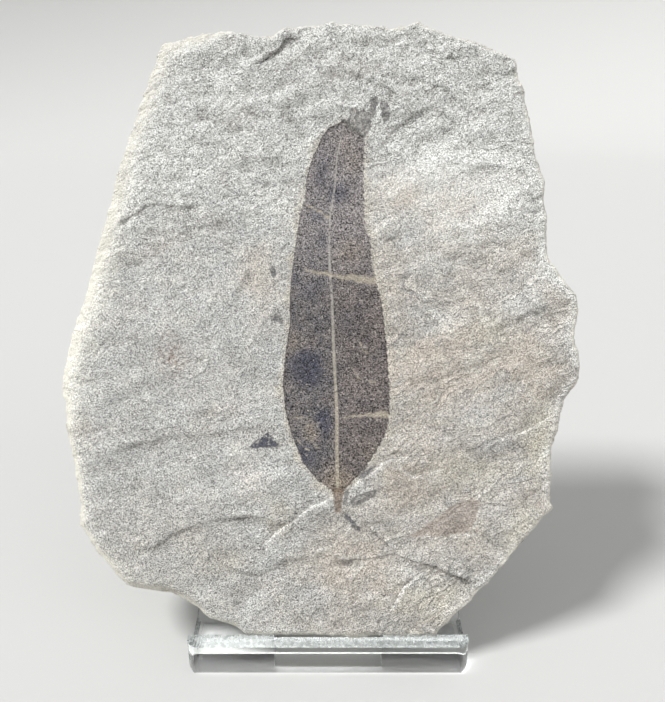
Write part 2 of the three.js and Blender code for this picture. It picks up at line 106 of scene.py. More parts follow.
# The flake that lifts by the top edge, and all the broken edges of the bedding on the face: drop,
# reach, how crisp, then the line from left to right. A negative drop rises below its line instead.
TOP_FLAKE = [
    (-18.2, 154.6), (-15.9, 156.0), (-12.9, 157.8), (-12.3, 159.0), (-11.9, 160.8), (-9.5, 161.1)]
LEDGES = [
    (1.1, 7, 1.0, [(-55.4, 111.4), (-51.7, 113.5), (-49.0, 115.4), (-43.9, 115.9), (-37.1, 115.4)]),
    (0.6, 9, 0.2, [(-50.6, 109.8), (-42.5, 108.9), (-31.8, 111.1), (-24.8, 113.2)]),
    (0.8, 8, 0.35, [(-56.0, 50.0), (-49.2, 52.5), (-42.5, 54.1), (-34.4, 54.1), (-25.0, 55.4)]),
    (1.4, 9, 0.45, [(-46.5, 24.5), (-38.5, 29.1), (-30.4, 31.7), (-21.0, 32.0), (-12.4, 30.4)]),
    (0.6, 5, 0.9, [(-26.9, 18.3), (-21.0, 16.4), (-14.3, 17.5), (-12.1, 20.4)]),
    (1.2, 8, 0.95, [(5.3, 20.1), (11.6, 20.8), (16.3, 21.7), (21.1, 20.9), (27.4, 18.9),
        (32.2, 17.0), (36.9, 15.5)]),
    (0.35, 8, 0.4, [(32.8, 71.3), (40.9, 74.0), (46.3, 78.3), (49.2, 82.6)]),
    (-0.8, 8, 0.2, [(30.1, 103.8), (38.2, 93.6), (43.0, 85.5), (46.8, 81.8)]),
    (-0.9, 7, 0.25, [(39.5, 103.8), (47.6, 104.1), (54.3, 101.1), (58.4, 96.8)]),
    (1.0, 7, 0.45, [(51.6, 86.3), (58.4, 88.5), (64.3, 90.1)]),
    (0.65, 7, 1.0, [(18.6, 136.9), (22.6, 140.4), (26.5, 142.0), (31.5, 141.2), (35.5, 137.5),
        (38.5, 131.5)]),
    (0.8, 6, 0.9, [(26.6, 149.0), (32.0, 147.0), (35.0, 144.5), (38.7, 140.7)]),
    (0.9, 6, 0.45, [(4.6, 152.3), (11.3, 149.8), (18.0, 146.9), (19.6, 142.6)]),
    (1.5, 6, 1.0, TOP_FLAKE),
    (0.6, 5, 1.0, [(-32.3, 132.9), (-28.5, 133.0), (-24.7, 130.5), (-21.0, 127.6)]),
    (0.7, 5, 0.3, [(-26.1, 90.4), (-23.7, 94.7), (-21.5, 97.9)]),
    (-0.6, 6, 0.3, [(-27.7, 86.3), (-18.8, 87.7), (-13.2, 83.9)]),
    (-1.2, 8, 0.7, [(-13.5, 19.6), (-16.2, 22.0), (-17.0, 25.0), (-12.9, 28.5), (-7.5, 32.5),
        (-0.8, 36.3)]),
    (-1.1, 7, 0.8, [(6.7, 39.9), (9.0, 42.4), (12.6, 43.9), (14.4, 46.4), (18.0, 48.2), (20.4, 47.9)]),
    (0.9, 7, 0.3, [(22.0, 25.0), (29.0, 25.8), (34.4, 28.8)]),
    (-0.6, 8, 0.2, [(17.2, 63.2), (26.1, 67.5), (33.3, 69.1)]),
    (-0.8, 7, 0.6, [(46.3, 52.7), (54.3, 55.4), (61.3, 59.7)]),
    (0.5, 4, 0.8, [(-28.0, 32.6), (-21.8, 32.0), (-14.6, 29.6)]),
    (0.8, 7, 0.25, [(-13.7, 19.4), (-6.6, 20.9), (-0.3, 22.1), (5.3, 20.3)]),
    (0.6, 4, 0.8, [(33.6, 127.0), (39.9, 126.7), (47.9, 125.9), (52.6, 124.3)]),
    (-0.8, 4, 0.8, [(-2.7, 22.9), (1.3, 24.5), (4.8, 27.7), (6.1, 30.0)]),
    (0.5, 5, 0.6, [(40.3, 46.0), (44.6, 45.2), (48.1, 45.7), (51.9, 46.0)]),
    (-0.7, 3, 0.8, [(18.3, 47.6), (19.4, 45.2), (21.9, 43.3), (26.2, 43.3), (29.3, 44.5)]),
    (-0.7, 5, 0.7, [(26.2, 56.2), (29.9, 54.9), (36.6, 50.0), (40.3, 47.1)]),
    (-0.7, 4, 0.8, [(37.1, 27.4), (39.7, 26.9), (42.8, 25.6), (44.6, 24.3)]),
    (0.6, 3, 1.0, [(9.1, 28.5), (14.8, 26.1), (17.2, 23.3)]),
    (-0.7, 1.5, 1.0, [(17.0, 7.6), (19.6, 11.4), (22.8, 15.4)]),
]

# Tan breaks and scratches across the leaf: half width at each end, and the line
BREAKS = [
    (0.15, 0.85, [(-6.2, 98.6), (-2.0, 97.6), (4.0, 96.4), (13.0, 95.6)]),
    (0.15, 0.3, [(-7.0, 116.4), (-3.5, 114.9), (0.3, 112.5)]),
    (0.08, 0.7, [(3.5, 58.7), (8.0, 59.2), (12.0, 59.6), (16.2, 59.4)]),
    (0.1, 0.06, [(-11.0, 58.9), (-7.0, 58.4), (-4.6, 58.6)]),
    (0.07, 0.1, [(-6.9, 54.9), (-5.4, 56.5), (-3.2, 57.0), (-1.9, 55.4)]),
    (0.08, 0.05, [(-6.2, 53.3), (-4.3, 52.5), (-2.7, 50.8), (-1.8, 49.6)]),
    (0.06, 0.09, [(-8.1, 52.7), (-6.7, 50.8), (-5.1, 50.3)]),
    (0.05, 0.08, [(8.0, 80.0), (9.6, 76.5), (11.8, 75.5)]),
    (0.05, 0.07, [(6.5, 72.0), (8.6, 69.0), (12.8, 68.2)]),
]

# Scraps of plant on the rock round the leaf: how dark, how blue, and the outline. A blue of -1 is
# a brown stain, and one of -2 is the leaf's stalk.
SCRAPS = [
    (0.9, 0.2, [(5.5, 142.0), (7.5, 142.4), (8.2, 141.2), (9.4, 142.0), (11.4, 140.8),
        (11.8, 137.7), (11.0, 135.3), (9.4, 134.3), (6.7, 135.3), (5.1, 137.0),
        (4.3, 138.4), (5.9, 139.8)]),
    (0.9, 0.3, [(11.4, 144.8), (13.2, 145.3), (13.7, 143.6), (12.9, 142.0), (12.4, 139.3),
        (11.4, 140.6)]),
    (0.9, 0.35, [(14.2, 144.5), (15.2, 143.4), (16.1, 143.9), (16.9, 141.8), (16.3, 139.3),
        (15.1, 137.4), (14.4, 140.2), (13.9, 142.6)]),
    (0.9, 1.0, [(-22.0, 50.1), (-19.4, 52.6), (-16.0, 54.9), (-14.6, 52.6), (-12.7, 51.0),
        (-17.0, 50.6)]),
    (0.9, 0.6, [(-15.8, 99.0), (-14.4, 99.3), (-13.8, 97.4), (-14.5, 96.2), (-15.3, 97.2)]),
    (0.9, 0.45, [(-15.4, 86.0), (-13.4, 86.2), (-12.0, 84.8), (-12.2, 83.4), (-13.6, 84.4),
        (-15.0, 84.4)]),
    (0.85, 0.2, [(5.9, 36.0), (7.4, 37.6), (10.0, 38.9), (13.6, 39.5), (12.6, 37.6), (9.6, 35.9),
        (7.0, 34.8)]),
    (0.9, 0.65, [(4.2, 33.0), (5.2, 32.7), (7.4, 30.3), (9.3, 28.3), (8.6, 27.6), (6.6, 29.2),
        (5.0, 31.0)]),
    (0.8, 0.35, [(4.6, 39.4), (5.6, 38.8), (4.9, 34.8), (3.9, 35.6)]),
    (0.85, 0.55, [(8.2, 42.4), (9.2, 44.0), (11.6, 45.2), (13.2, 46.0), (11.0, 43.6), (9.4, 42.2)]),
    (0.75, -2.0, [(0.9, 39.8), (4.3, 39.8), (4.0, 36.6), (3.5, 33.2), (1.8, 33.0), (1.6, 36.6)]),
    (0.6, -1.0, [(20.4, 26.0), (26.1, 29.3), (30.4, 32.3), (34.2, 35.4), (38.5, 36.9), (40.9, 36.3),
        (40.3, 33.6), (39.3, 30.4), (37.9, 28.0), (32.3, 26.9), (26.1, 26.9)]),
    (0.95, 0.2, [(3.4, 139.0), (4.6, 139.3), (5.0, 138.2), (3.8, 137.9)]),
]

# The rock's surface wanders by chance, from a fixed seed, so that it is the same each time
draw = np.random.default_rng(11)
SHUFFLED = draw.permutation(256)
SLOPES = draw.normal(size=(256, 3))
SLOPES /= np.linalg.norm(SLOPES, axis=1)[:, None]


def smooth(t):
    """From 0 to 1 without a corner at either end."""
    t = np.clip(t, 0, 1)
    return t * t * (3 - 2 * t)


def noise(x, y, z=0.0):
    """Smooth gradient noise, about -1 to 1. A z of its own gives each use its own pattern."""
    p = np.stack(np.broadcast_arrays(x, y, z), axis=-1).astype(float)
    cell = np.floor(p).astype(int)
    f = p - cell
    w = f * f * f * (f * (f * 6 - 15) + 10)
    total = 0
    for corner in np.ndindex(2, 2, 2):
        c = cell + corner
        k = SHUFFLED[(SHUFFLED[(SHUFFLED[c[..., 0] & 255] + c[..., 1]) & 255] + c[..., 2]) & 255]
        dot = np.sum(SLOPES[k] * (f - corner), axis=-1)
        weight = np.prod(np.where(np.array(corner) == 1, w, 1 - w), axis=-1)
        total = total + dot * weight
    return total * 1.5


def rough(x, y, z=0.0, octaves=3):
    """Noise with finer and fainter copies of itself added."""
    total, size, part = 0, 1.0, 1.0
    for _ in range(octaves):
        total = total + part * noise(x * size, y * size, np.asarray(z) * size + 7.3 * size)
        size, part = size * 2.03, part * 0.52
    return total


def line_distance(path, u, s):
    """Distance to a line, positive on its left, how far past its ends, and the share run along it."""
    path = np.asarray(path, float)
    u, s = np.asarray(u, float), np.asarray(s, float)
    best = np.full(u.shape, 1e9)
    signed, past, frac = np.zeros(u.shape), np.zeros(u.shape), np.zeros(u.shape)
    last = len(path) - 2
    for i in range(len(path) - 1):
        a, b = path[i], path[i + 1]
        d = b - a
        length = math.hypot(*d)
        t = ((u - a[0]) * d[0] + (s - a[1]) * d[1]) / (length * length)
        k = np.clip(t, 0, 1)
        gap = np.hypot(u - a[0] - k * d[0], s - a[1] - k * d[1])
        side = np.where(d[0] * (s - a[1]) - d[1] * (u - a[0]) >= 0, 1.0, -1.0)
        nearer = gap < best
        best = np.where(nearer, gap, best)
        signed = np.where(nearer, gap * side, signed)
        over = np.where((i == 0) & (t < 0) | (i == last) & (t > 1), np.abs(t - k) * length, 0)
        past = np.where(nearer, over, past)
        frac = np.where(nearer, (i + k) / (last + 1), frac)
    return signed, past, frac


def inside_distance(loop, u, s):
    """Distance to a closed outline, positive inside."""
    loop = np.asarray(loop, float)
    closed = np.vstack([loop, loop[:1]])
    gap = np.abs(line_distance(closed, u, s)[0])
    odd = np.zeros(np.shape(u), bool)
    for a, b in zip(closed[:-1], closed[1:]):
        crosses = (a[1] > s) != (b[1] > s)
        slope = (b[0] - a[0]) / (b[1] - a[1]) if b[1] != a[1] else 0.0
        odd ^= crosses & (u < a[0] + (s - a[1]) * slope)
    return np.where(odd, gap, -gap)


def along(line, t):
    """Places at fractions of a line's own length."""
    spans = np.hypot(*np.diff(line, axis=0).T)
    reach = np.concatenate([[0], np.cumsum(spans)]) / spans.sum()
    return np.stack([np.interp(t, reach, line[:, 0]), np.interp(t, reach, line[:, 1])], axis=-1)


def between(a, b, n):
    """Places from one line towards the next in every row, without the last."""
    return a[:, None] + (b - a)[:, None] * np.linspace(0, 1, n, endpoint=False)[None]


# The face's rows and columns: one column runs up the midrib, and two follow the leaf's margins.
# Above the top start the rows bend up to the broken top edge.
LOW_ROWS, TOP_ROWS = ((250, 26))
LEFT_COLUMNS, LEAF_COLUMNS, RIGHT_COLUMNS = ((96, 27, 92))
TOP_START = 149.0

heights = np.linspace(0, TOP_START, LOW_ROWS)
middle = np.interp(heights, [0, 20, *MIDRIB[1:, 1], 150], [2.6, 2.6, *MIDRIB[1:, 0], 4.6])
left_margin = np.interp(
    heights, [0, 20, *LEAF_LEFT[2:-3, 1], 150], [-8, -4, *LEAF_LEFT[2:-3, 0], -4])
right_margin = np.interp(
    heights, [0, 20, *LEAF_RIGHT[2:-1, 1], 150], [12, 9, *LEAF_RIGHT[2:-1, 0], 11])
left_edge = np.interp(heights, LEFT_EDGE[:, 1], LEFT_EDGE[:, 0])
right_edge = np.interp(heights, RIGHT_EDGE[:, 1], RIGHT_EDGE[:, 0])
low_u = np.hstack([
    between(left_edge, left_margin, LEFT_COLUMNS), between(left_margin, middle, LEAF_COLUMNS),
    between(middle, right_margin, LEAF_COLUMNS), between(right_margin, right_edge, RIGHT_COLUMNS),
    right_edge[:, None],
])
low_s = np.repeat(heights[:, None], low_u.shape[1], axis=1)
# A small tooth of rock hangs from the foot
low_s[0] -= 0.7 * np.exp(-((low_u[0] - 8) / 3) ** 2)

share_across = (low_u[-1] - low_u[-1, 0]) / (low_u[-1, -1] - low_u[-1, 0])
top_left = np.vstack([[left_edge[-1], TOP_START], LEFT_EDGE[LEFT_EDGE[:, 1] > TOP_START]])
top_right = np.vstack([[right_edge[-1], TOP_START], RIGHT_EDGE[RIGHT_EDGE[:, 1] > TOP_START]])
share_up = np.arange(1, TOP_ROWS + 1)[:, None] / TOP_ROWS
from_left = along(top_left, share_up[:, 0])
from_right = along(top_right, share_up[:, 0])
chord = TOP_EDGE[0] + (TOP_EDGE[-1] - TOP_EDGE[0]) * share_across[:, None]
arch = along(TOP_EDGE, share_across) - chord
top = from_left[:, None] + (from_right - from_left)[:, None] * share_across[None, :, None]
top = top + share_up[..., None] * arch[None]
U = np.vstack([low_u, top[..., 0]])
S = np.vstack([low_s, top[..., 1]])
rows, columns = U.shape

# The rim wanders a little, as broken rock does
rim_loop = np.vstack([LEFT_EDGE[::-1], RIGHT_EDGE, TOP_EDGE[::-1][1:-1]])
to_rim = inside_distance(rim_loop, U, S)
at_rim = np.exp(-np.abs(to_rim) / 1.5)
U = U + at_rim * (0.3 * rough(U / 2.2, S / 2.2, 50) + 0.12 * noise(U / 0.7, S / 0.7, 51))
wander = 0.3 * rough(U / 2.2, S / 2.2, 60) + 0.12 * noise(U / 0.7, S / 0.7, 61)
S = S + at_rim * wander * smooth(S / 3)
to_rim = np.maximum(to_rim, 0)

# Where the leaf, its midrib, the scraps and the breaks lie
leaf_loop = np.vstack([LEAF_LEFT, LEAF_RIGHT[::-1][1:]])
leaf = inside_distance(leaf_loop, U, S)
rib = line_distance(MIDRIB, U, S)[0]
on_leaf = smooth((leaf + 0.15) / 0.45)
torn_u = U + 0.3 * rough(U / 0.9, S / 0.9, 64, 2)
torn_s = S + 0.3 * rough(U / 0.9, S / 0.9, 66, 2)
scrap = np.full(U.shape, -9.0)
scrap_dark = np.zeros(U.shape)
scrap_blue = np.zeros(U.shape)
for dark, bluish, loop in SCRAPS:
    inside = inside_distance(loop, torn_u, torn_s)
    closer = inside > scrap
    scrap = np.where(closer, inside, scrap)
    scrap_dark = np.where(closer, dark, scrap_dark)
    scrap_blue = np.where(closer, bluish, scrap_blue)

crack = np.full(U.shape, 9.0)
crack_half = np.zeros(U.shape)
jagged_u = U + 0.3 * noise(U / 1.6, S / 1.6, 71)
jagged_s = S + 0.5 * noise(U / 2.6, S / 2.6, 72) + 0.3 * noise(U / 1.1, S / 1.1, 73)
for near, far, path in BREAKS:
    gap, past, t = line_distance(path, jagged_u, jagged_s)
    closer = np.abs(gap) - near < np.abs(crack) - crack_half
    crack = np.where(closer, gap, crack)
    crack_half = np.where(closer, near + (far - near) * t - past * 0.7, crack_half)


def spot(u, s, wide, tall, turn=0.0, soft=1.0):
    """An oval patch on the face, 1 in its middle, fading at its rim."""
    c, d = math.cos(turn), math.sin(turn)
    x, y = (U - u) * c + (S - s) * d, (S - s) * c - (U - u) * d
    return smooth((1 - np.hypot(x / wide, y / tall)) / soft)


# The face's broad waves, and its ledges, each fading away from its own line
H = 0.45 * np.sin(0.062 * U - 0.118 * S + 0.6)
H += 0.3 * np.sin(0.171 * U - 0.243 * S + 2.1) * smooth((U + 5) / 25)
H += 0.25 * np.sin(0.31 * U + 0.19 * S) * np.sin(0.13 * S - 0.07 * U + 1)
edge_u, edge_s = (
    way + 0.8 * noise(U / 7, S / 7, z + 3) + 0.28 * noise(U / 2.4, S / 2.4, z + 8)
    + 0.1 * noise(U / 0.9, S / 0.9, z + 9) for way, z in ((U, 0), (S, 10)))
worn = np.clip(0.8 + 0.7 * noise(U / 5.5, S / 5.5, 24), 0.1, 1.4)
nearest = np.full(U.shape, 1e9)
ledge_side = np.full(U.shape, 5.0)
ledge_drop = np.zeros(U.shape)
for drop, reach, crisp, path in LEDGES:
    gap, past, _ = line_distance(path, edge_u, edge_s)
    fade = np.exp(-np.abs(gap) / reach * 1.4) * np.exp(-past / 2.5)
    slope = 0.32 + 1.7 * (1 - crisp)
    H += 0.75 * drop * worn * fade * (smooth(gap / slope + 0.5) - 0.45)
    off = np.abs(gap) + 0.6 * past
    closer = off < nearest
    nearest = np.where(closer, off, nearest)
    ledge_side = np.where(closer, gap, ledge_side)
    ledge_drop = np.where(closer, drop * crisp * worn * np.exp(-past / 2.0), ledge_drop)

# The thin laminae that the split runs on: each whole number of the level is one of them, and a
# broken step runs where it changes. The smooth patch on the right has the faintest steps.
smooth_patch = spot(33, 121, 24, 16, 0.15, 0.5)
p = U * 0.93 + S * 0.36 + 2.5 * noise(U / 15, S / 15, 33)
q = S * 0.93 - U * 0.36 + 2.0 * noise(U / 11, S / 11, 34) + 0.5 * noise(U / 3, S / 3, 35)
level = 1.8 * noise(p / 30, q / 13, 2) + 0.8 * noise(p / 11, q / 5.5, 5)
level += 0.32 * noise(p / 4.2, q / 2.6, 6) + 0.13 * noise(p / 1.8, q / 1.3, 7)
level = level * (1.5 + 1.5 * smooth((U + 4) / 16)) + 0.03 * S
split_share = 0.35 + 0.65 * smooth((noise(U / 10, S / 9, 31) + 0.2) / 0.5)
split_share *= (0.45 + 0.55 * smooth((U + 2) / 14)) * (1 - 0.75 * on_leaf)
split_share *= 1 - 0.7 * smooth_patch
part = level - np.floor(level)
H += 0.38 * (smooth((part - 0.78) / 0.22) - part) * split_share

# Roughness: finer to the right, crumbled at the top, smoother under the leaf and in calm patches
calm = np.max([
    smooth_patch, 0.5 * spot(-40, 66, 24, 26, 0, 0.7), 0.5 * spot(38, 62, 20, 15),
    0.65 * smooth((-U - 10) / 12) * smooth((114 - S) / 25),
], axis=0)
crumble = smooth((S - 118 + 12 * noise(U / 15, S / 15, 80)) / 22) * (1 - on_leaf)
wrinkles = rough((U + 0.35 * S) / 4.2, (S - 0.35 * U) / 2.0, 41, 3)
H += 0.07 * wrinkles * (0.5 + 0.5 * smooth((U + 2) / 14))
H += crumble * (0.16 * rough(U / 3.2, S / 2.2, 81, 3) + 0.10 * noise(U / 1.3, S / 1.0, 82))
H += 0.24 * rough(U / 4.2, S / 3.0, 91, 3) * (1 - 0.45 * on_leaf) * (1 - 0.5 * calm)
H += 0.55 * noise((U + 0.4 * S) / 13, (S - 0.4 * U) / 6.5, 92) * (1 - 0.6 * on_leaf)
H += 0.8 * crumble * noise(U / 7, S / 5, 93)

# The leaf lies a little low with its midrib raised, and the breaks and scraps are dents
H -= 0.15 * on_leaf
H += 0.14 * np.exp(-(rib / 0.5) ** 2) * on_leaf * smooth((112 - S) / 30)
H -= 0.12 * smooth((crack_half + 0.2 - np.abs(crack)) / 0.3) * on_leaf
H -= 0.12 * smooth((scrap + 0.1) / 0.3)

# An open groove under the flake by the top edge
open_u = U + 0.5 * rough(U / 2.2, S / 2.2, 95, 2)
open_s = S + 0.5 * rough(U / 2.2, S / 2.2, 96, 2)
groove, past, _ = line_distance(TOP_FLAKE, open_u, open_s)
groove_depth = 0.6 * np.clip(0.8 + 0.8 * noise(U / 2.5, S / 2.5, 97), 0.1, 1.4)
H -= groove_depth * np.exp(-((groove + 0.1) / 0.22) ** 2) * np.exp(-past * 1.5)

# A chipped bevel along the rim, widest on the left
long_side = smooth((-U - 25) / 15)
chip_width = 1.3 + long_side * (1.3 + 2.6 * smooth((S - 50) / 40))
chip_width += (0.9 - 0.4 * long_side) * rough(U / 4.5, S / 4.5, 100, 3)
chip_width = np.maximum(chip_width, 0.35)
chip = np.clip(1 - to_rim / chip_width, 0, 1) ** (1.5 - 0.35 * long_side)
H -= chip * (0.7 + 1.4 * long_side + 0.45 * rough(U / 2.0, S / 2.0, 101, 2))
H -= 0.25 * at_rim * noise(U / 1.1, S / 1.1, 102)


def around(sheet):
    """The mean height round each point of a sheet, out to three points away."""
    r, c = sheet.shape
    wide = np.pad(sheet, 3, mode="edge")
    return sum(wide[i:r + i, j:c + j] for i in (0, 3, 6) for j in (0, 3, 6)) / 9


# What stands proud is paler, as wear and as a painted highlight, and what lies hollow gets painted
# shade
proud = np.clip((H - around(H)) * 4, -1, 1)

face_points = np.stack([U, S, H], axis=-1).reshape(-1, 3)
face_index = np.arange(rows * columns).reshape(rows, columns)


def broken(u, s):
    """A lumpy swell for the broken sides."""
    return np.sin(0.42 * u + 0.9) * np.sin(0.33 * s + 0.2) + 0.6 * np.sin(0.9 * (u + s))


def back_height(u, s):
    """How far the back falls short of the full thickness, with its two broad shelves."""
    wave = np.sin(0.075 * u + 0.052 * s + 0.8) + np.sin(0.041 * u - 0.09 * s + 2.2)
    bumps = 0.5 * np.sin(0.36 * u + 0.9) * np.sin(0.29 * s + 0.3)
    shelf = 1.3 * smooth((0.35 * u + s - 128) / 3) + 1.1 * smooth((-0.5 * u - s + 2) / 4)
    return np.maximum(0, 0.75 + 0.38 * wave + bumps) + shelf + 0.9 * smooth((np.abs(u) - 45) / 18)


# From the rim, anticlockwise as the viewer sees it, rings of points go down the broken sides, out
# to a blunt ridge and in again to the back
SIDE_RINGS = 13
rim = np.concatenate([
    face_index[0, :-1], face_index[:-1, -1], face_index[-1, :0:-1], face_index[:0:-1, 0],
])
rim_u, rim_s, rim_h = face_points[rim].T
count = len(rim)
away = np.stack([rim_u, rim_s - MID_HEIGHT], axis=-1)
away /= np.linalg.norm(away, axis=1)[:, None]
off_foot = smooth((rim_s - 2) / 8)
ridge_out = off_foot * (0.2 + 0.7 * broken(rim_u, rim_s))
ridge_h = -THICK * (0.42 + 0.12 * broken(rim_s, rim_u))
back_out = -(0.9 + 0.8 * broken(rim_s, rim_u)) * off_foot
foot_drop = np.where(rim_s < 0.01, -FOOT_DROP, 0)
back_h = -THICK + back_height(rim_u, rim_s) + 0.6
run = np.concatenate([[0], np.cumsum(np.hypot(np.diff(rim_u), np.diff(rim_s)))])
side_rings = []
for ring in range(1, SIDE_RINGS + 1):
    t = ring / SIDE_RINGS
    to_ridge = min(t / 0.45, 1)
    to_back = max((t - 0.45) / 0.55, 0)
    out = ridge_out * to_ridge * (1 - to_back) + back_out * to_back
    depth = rim_h + (ridge_h - rim_h) * to_ridge + (back_h - ridge_h) * to_back
    layers = 0.55 * rough(run / 9, depth / 1.1, 120, 3)
    layers += 0.3 * rough(run / 2.2, depth / 1.6, 121, 2)
    out = out + layers * math.sin(math.pi * min(t, 0.97)) * (0.3 + 0.7 * off_foot)
    side_rings.append(np.stack([
        rim_u + away[:, 0] * out, rim_s + away[:, 1] * out + foot_drop * to_back, depth], axis=-1))

# The back takes every second row and column of the face, in low terraces, and rises to meet the
# last ring
back_rows = np.unique(np.append(np.arange(0, rows - 1, 2), rows - 1))
back_columns = np.unique(np.append(np.arange(0, columns - 1, 2), columns - 1))
back_u = U[np.ix_(back_rows, back_columns)]
back_s = S[np.ix_(back_rows, back_columns)]
p = back_u * 0.8 + back_s * 0.6
q = back_s * 0.8 - back_u * 0.6
terrace = q / 11 + 1.4 * noise(p / 24, q / 12, 130) + 0.35 * noise(p / 5, q / 5, 131)
part = terrace - np.floor(terrace)
back_h = -THICK + back_height(back_u, back_s)
back_h += 0.6 * np.exp(-np.maximum(inside_distance(rim_loop, back_u, back_s), 0) / 1.6)
back_h += 1.3 * (smooth((part - 0.88) / 0.12) - part + 0.5) + 0.5
back_h += 0.7 * rough(back_u / 16, back_s / 12, 134, 2)
back_h += 0.4 * rough(back_u / 3.5, back_s / 3.5, 132, 3)
back_h += 0.12 * rough(back_u / 1.2, back_s / 1.2, 133, 2)
back_h = np.maximum(back_h, -THICK - 0.15)
# The back's painted shade in its hollows and painted highlight on what stands proud
back_proud = np.clip((around(back_h) - back_h) * 1.6, -1, 1)
back_s = back_s - FOOT_DROP * np.clip(1 - back_s / 3, 0, None)
first_side = rows * columns
last_ring = first_side + (SIDE_RINGS - 1) * count
first_back = first_side + SIDE_RINGS * count
on_rim = np.full(rows * columns, -1)
on_rim[rim] = np.arange(count)
meets = on_rim[face_index[np.ix_(back_rows, back_columns)]]
free = meets < 0
back_index = last_ring + meets
back_index[free] = first_back + np.arange(np.count_nonzero(free))
back_points = np.stack([back_u[free], back_s[free], back_h[free]], axis=-1)


def squares(corners, turned_over=False):
    """The four-sided faces between the rows and columns of a sheet of points."""
    a, b, c, d = corners[:-1, :-1], corners[:-1, 1:], corners[1:, 1:], corners[1:, :-1]
    order = (a, d, c, b) if turned_over else (a, b, c, d)
    return np.stack(order, axis=-1).reshape(-1, 4)


points = np.vstack([face_points, *side_rings, back_points])
quads = [squares(face_index), squares(back_index, turned_over=True)]
loops = [rim] + [first_side + ring * count + np.arange(count) for ring in range(SIDE_RINGS)]
for upper, lower in zip(loops[:-1], loops[1:]):
    quads.append(np.stack([upper, lower, np.roll(lower, -1), np.roll(upper, -1)], axis=-1))
faces = [tuple(quad) for quad in np.vstack(quads).tolist()]
# The last ring has twice the back's points: a triangle closes each gap
shared = sorted(meets[~free].tolist())
for k, after in zip(shared, shared[1:] + [shared[0] + count]):
    if after - k == 2:
        faces.append((last_ring + k, last_ring + after % count, last_ring + (k + 1) % count))

sin_lean, cos_lean = math.sin(LEAN), math.cos(LEAN)
in_frame = np.stack([
    points[:, 0],
    FOOT[0] + points[:, 1] * sin_lean - points[:, 2] * cos_lean,
    FOOT[1] + points[:, 1] * cos_lean + points[:, 2] * sin_lean,
], axis=-1) / 1000

slab_mesh = bpy.data.meshes.new("fossil_slab_rock")
slab_mesh.from_pydata(in_frame.tolist(), [], faces)
slab_mesh.validate()
slab_mesh.polygons.foreach_set("use_smooth", [True] * len(slab_mesh.polygons))
slab = bpy.data.objects.new("fossil_slab_rock", slab_mesh)
bpy.context.collection.objects.link(slab)


def mark(name, on_face, elsewhere=0.0, on_back=None):
    """Keep a value at each point, for the material to read by its name."""
    values = np.full(len(points), float(elsewhere))
    values[:first_side] = on_face.reshape(-1)
    if on_back is not None:
        values[first_back:] = on_back
    slab_mesh.attributes.new(name, "FLOAT", "POINT").data.foreach_set("value", values)


# What the material needs to know at each point. Away from the face a mark keeps one value.
left_band = smooth((-U - 20) / 20) * (0.3 + 0.7 * smooth((S - 45) / 35))
left_rim = smooth(1 - to_rim / 12) * left_band
mark("height", S, 60)
mark("across", U)
mark("leaf", leaf, -9)
mark("rib", rib, 9)
mark("crack", crack, 9)
mark("crack_half", crack_half)
mark("scrap", scrap, -9)
mark("scrap_dark", scrap_dark)
mark("scrap_blue", scrap_blue)
mark("rim", chip, 1)
mark("soft_rim", smooth(1 - to_rim / 9) * left_band)
mark("proud", proud, 0, back_proud[free])
mark("crumble", crumble)
mark("level", level)
mark("share", split_share)
mark("ledge_side", ledge_side, 5)
mark("ledge_drop", ledge_drop)
# Tones of the leaf: blue-black, tan and pale patches
mark("blue", np.max([
    spot(-5.7, 72.1, 6.5, 7, 0, 0.6), spot(-1.2, 57.5, 3.4, 6, 0.1, 0.7),
    spot(-6.5, 49.0, 4, 5, 0.3, 0.8), spot(2.6, 119.3, 5.2, 4.8), 0.55 * spot(-3.5, 93.5, 5, 5),
    0.65 * spot(-1.6, 124.5, 3.6, 9, -0.15), 0.5 * spot(-9.0, 96, 2.5, 4), 0.45 * spot(5, 84, 4, 6),
    0.4 * spot(-1.5, 107, 2.5, 5), 0.6 * spot(-3.0, 113.0, 4, 3),
], axis=0))
mark("tan", np.max([
    0.55 * spot(6.0, 103.5, 6, 5), spot(2.6, 41.5, 7, 6.5), 0.4 * spot(7, 128, 4, 6),
    0.3 * spot(11, 48, 5, 7), 0.45 * spot(-9.5, 79, 3, 5), 0.6 * spot(-4.0, 55.0, 4.5, 4.5),
    0.35 * spot(5.0, 132, 4, 6),
], axis=0))
mark("pale", smooth((S - 84) / 30) * on_leaf)
# Stains on the rock: rusty spots, and a patch of reddish specks on the left
mark("brown", np.max([
    0.8 * spot(6.7, 10.5, 1.7, 3.4, 0.6), 0.7 * spot(3.0, 7.0, 1.6, 2.2),
    0.55 * spot(-25.0, 161.0, 2.4, 2.2), 0.6 * spot(8, 20, 1.5, 3, 0.5), 0.5 * spot(-28, 123, 3, 4),
], axis=0))
mark("speckled", spot(-42.0, 75.3, 6.5, 10.5, 0.25))
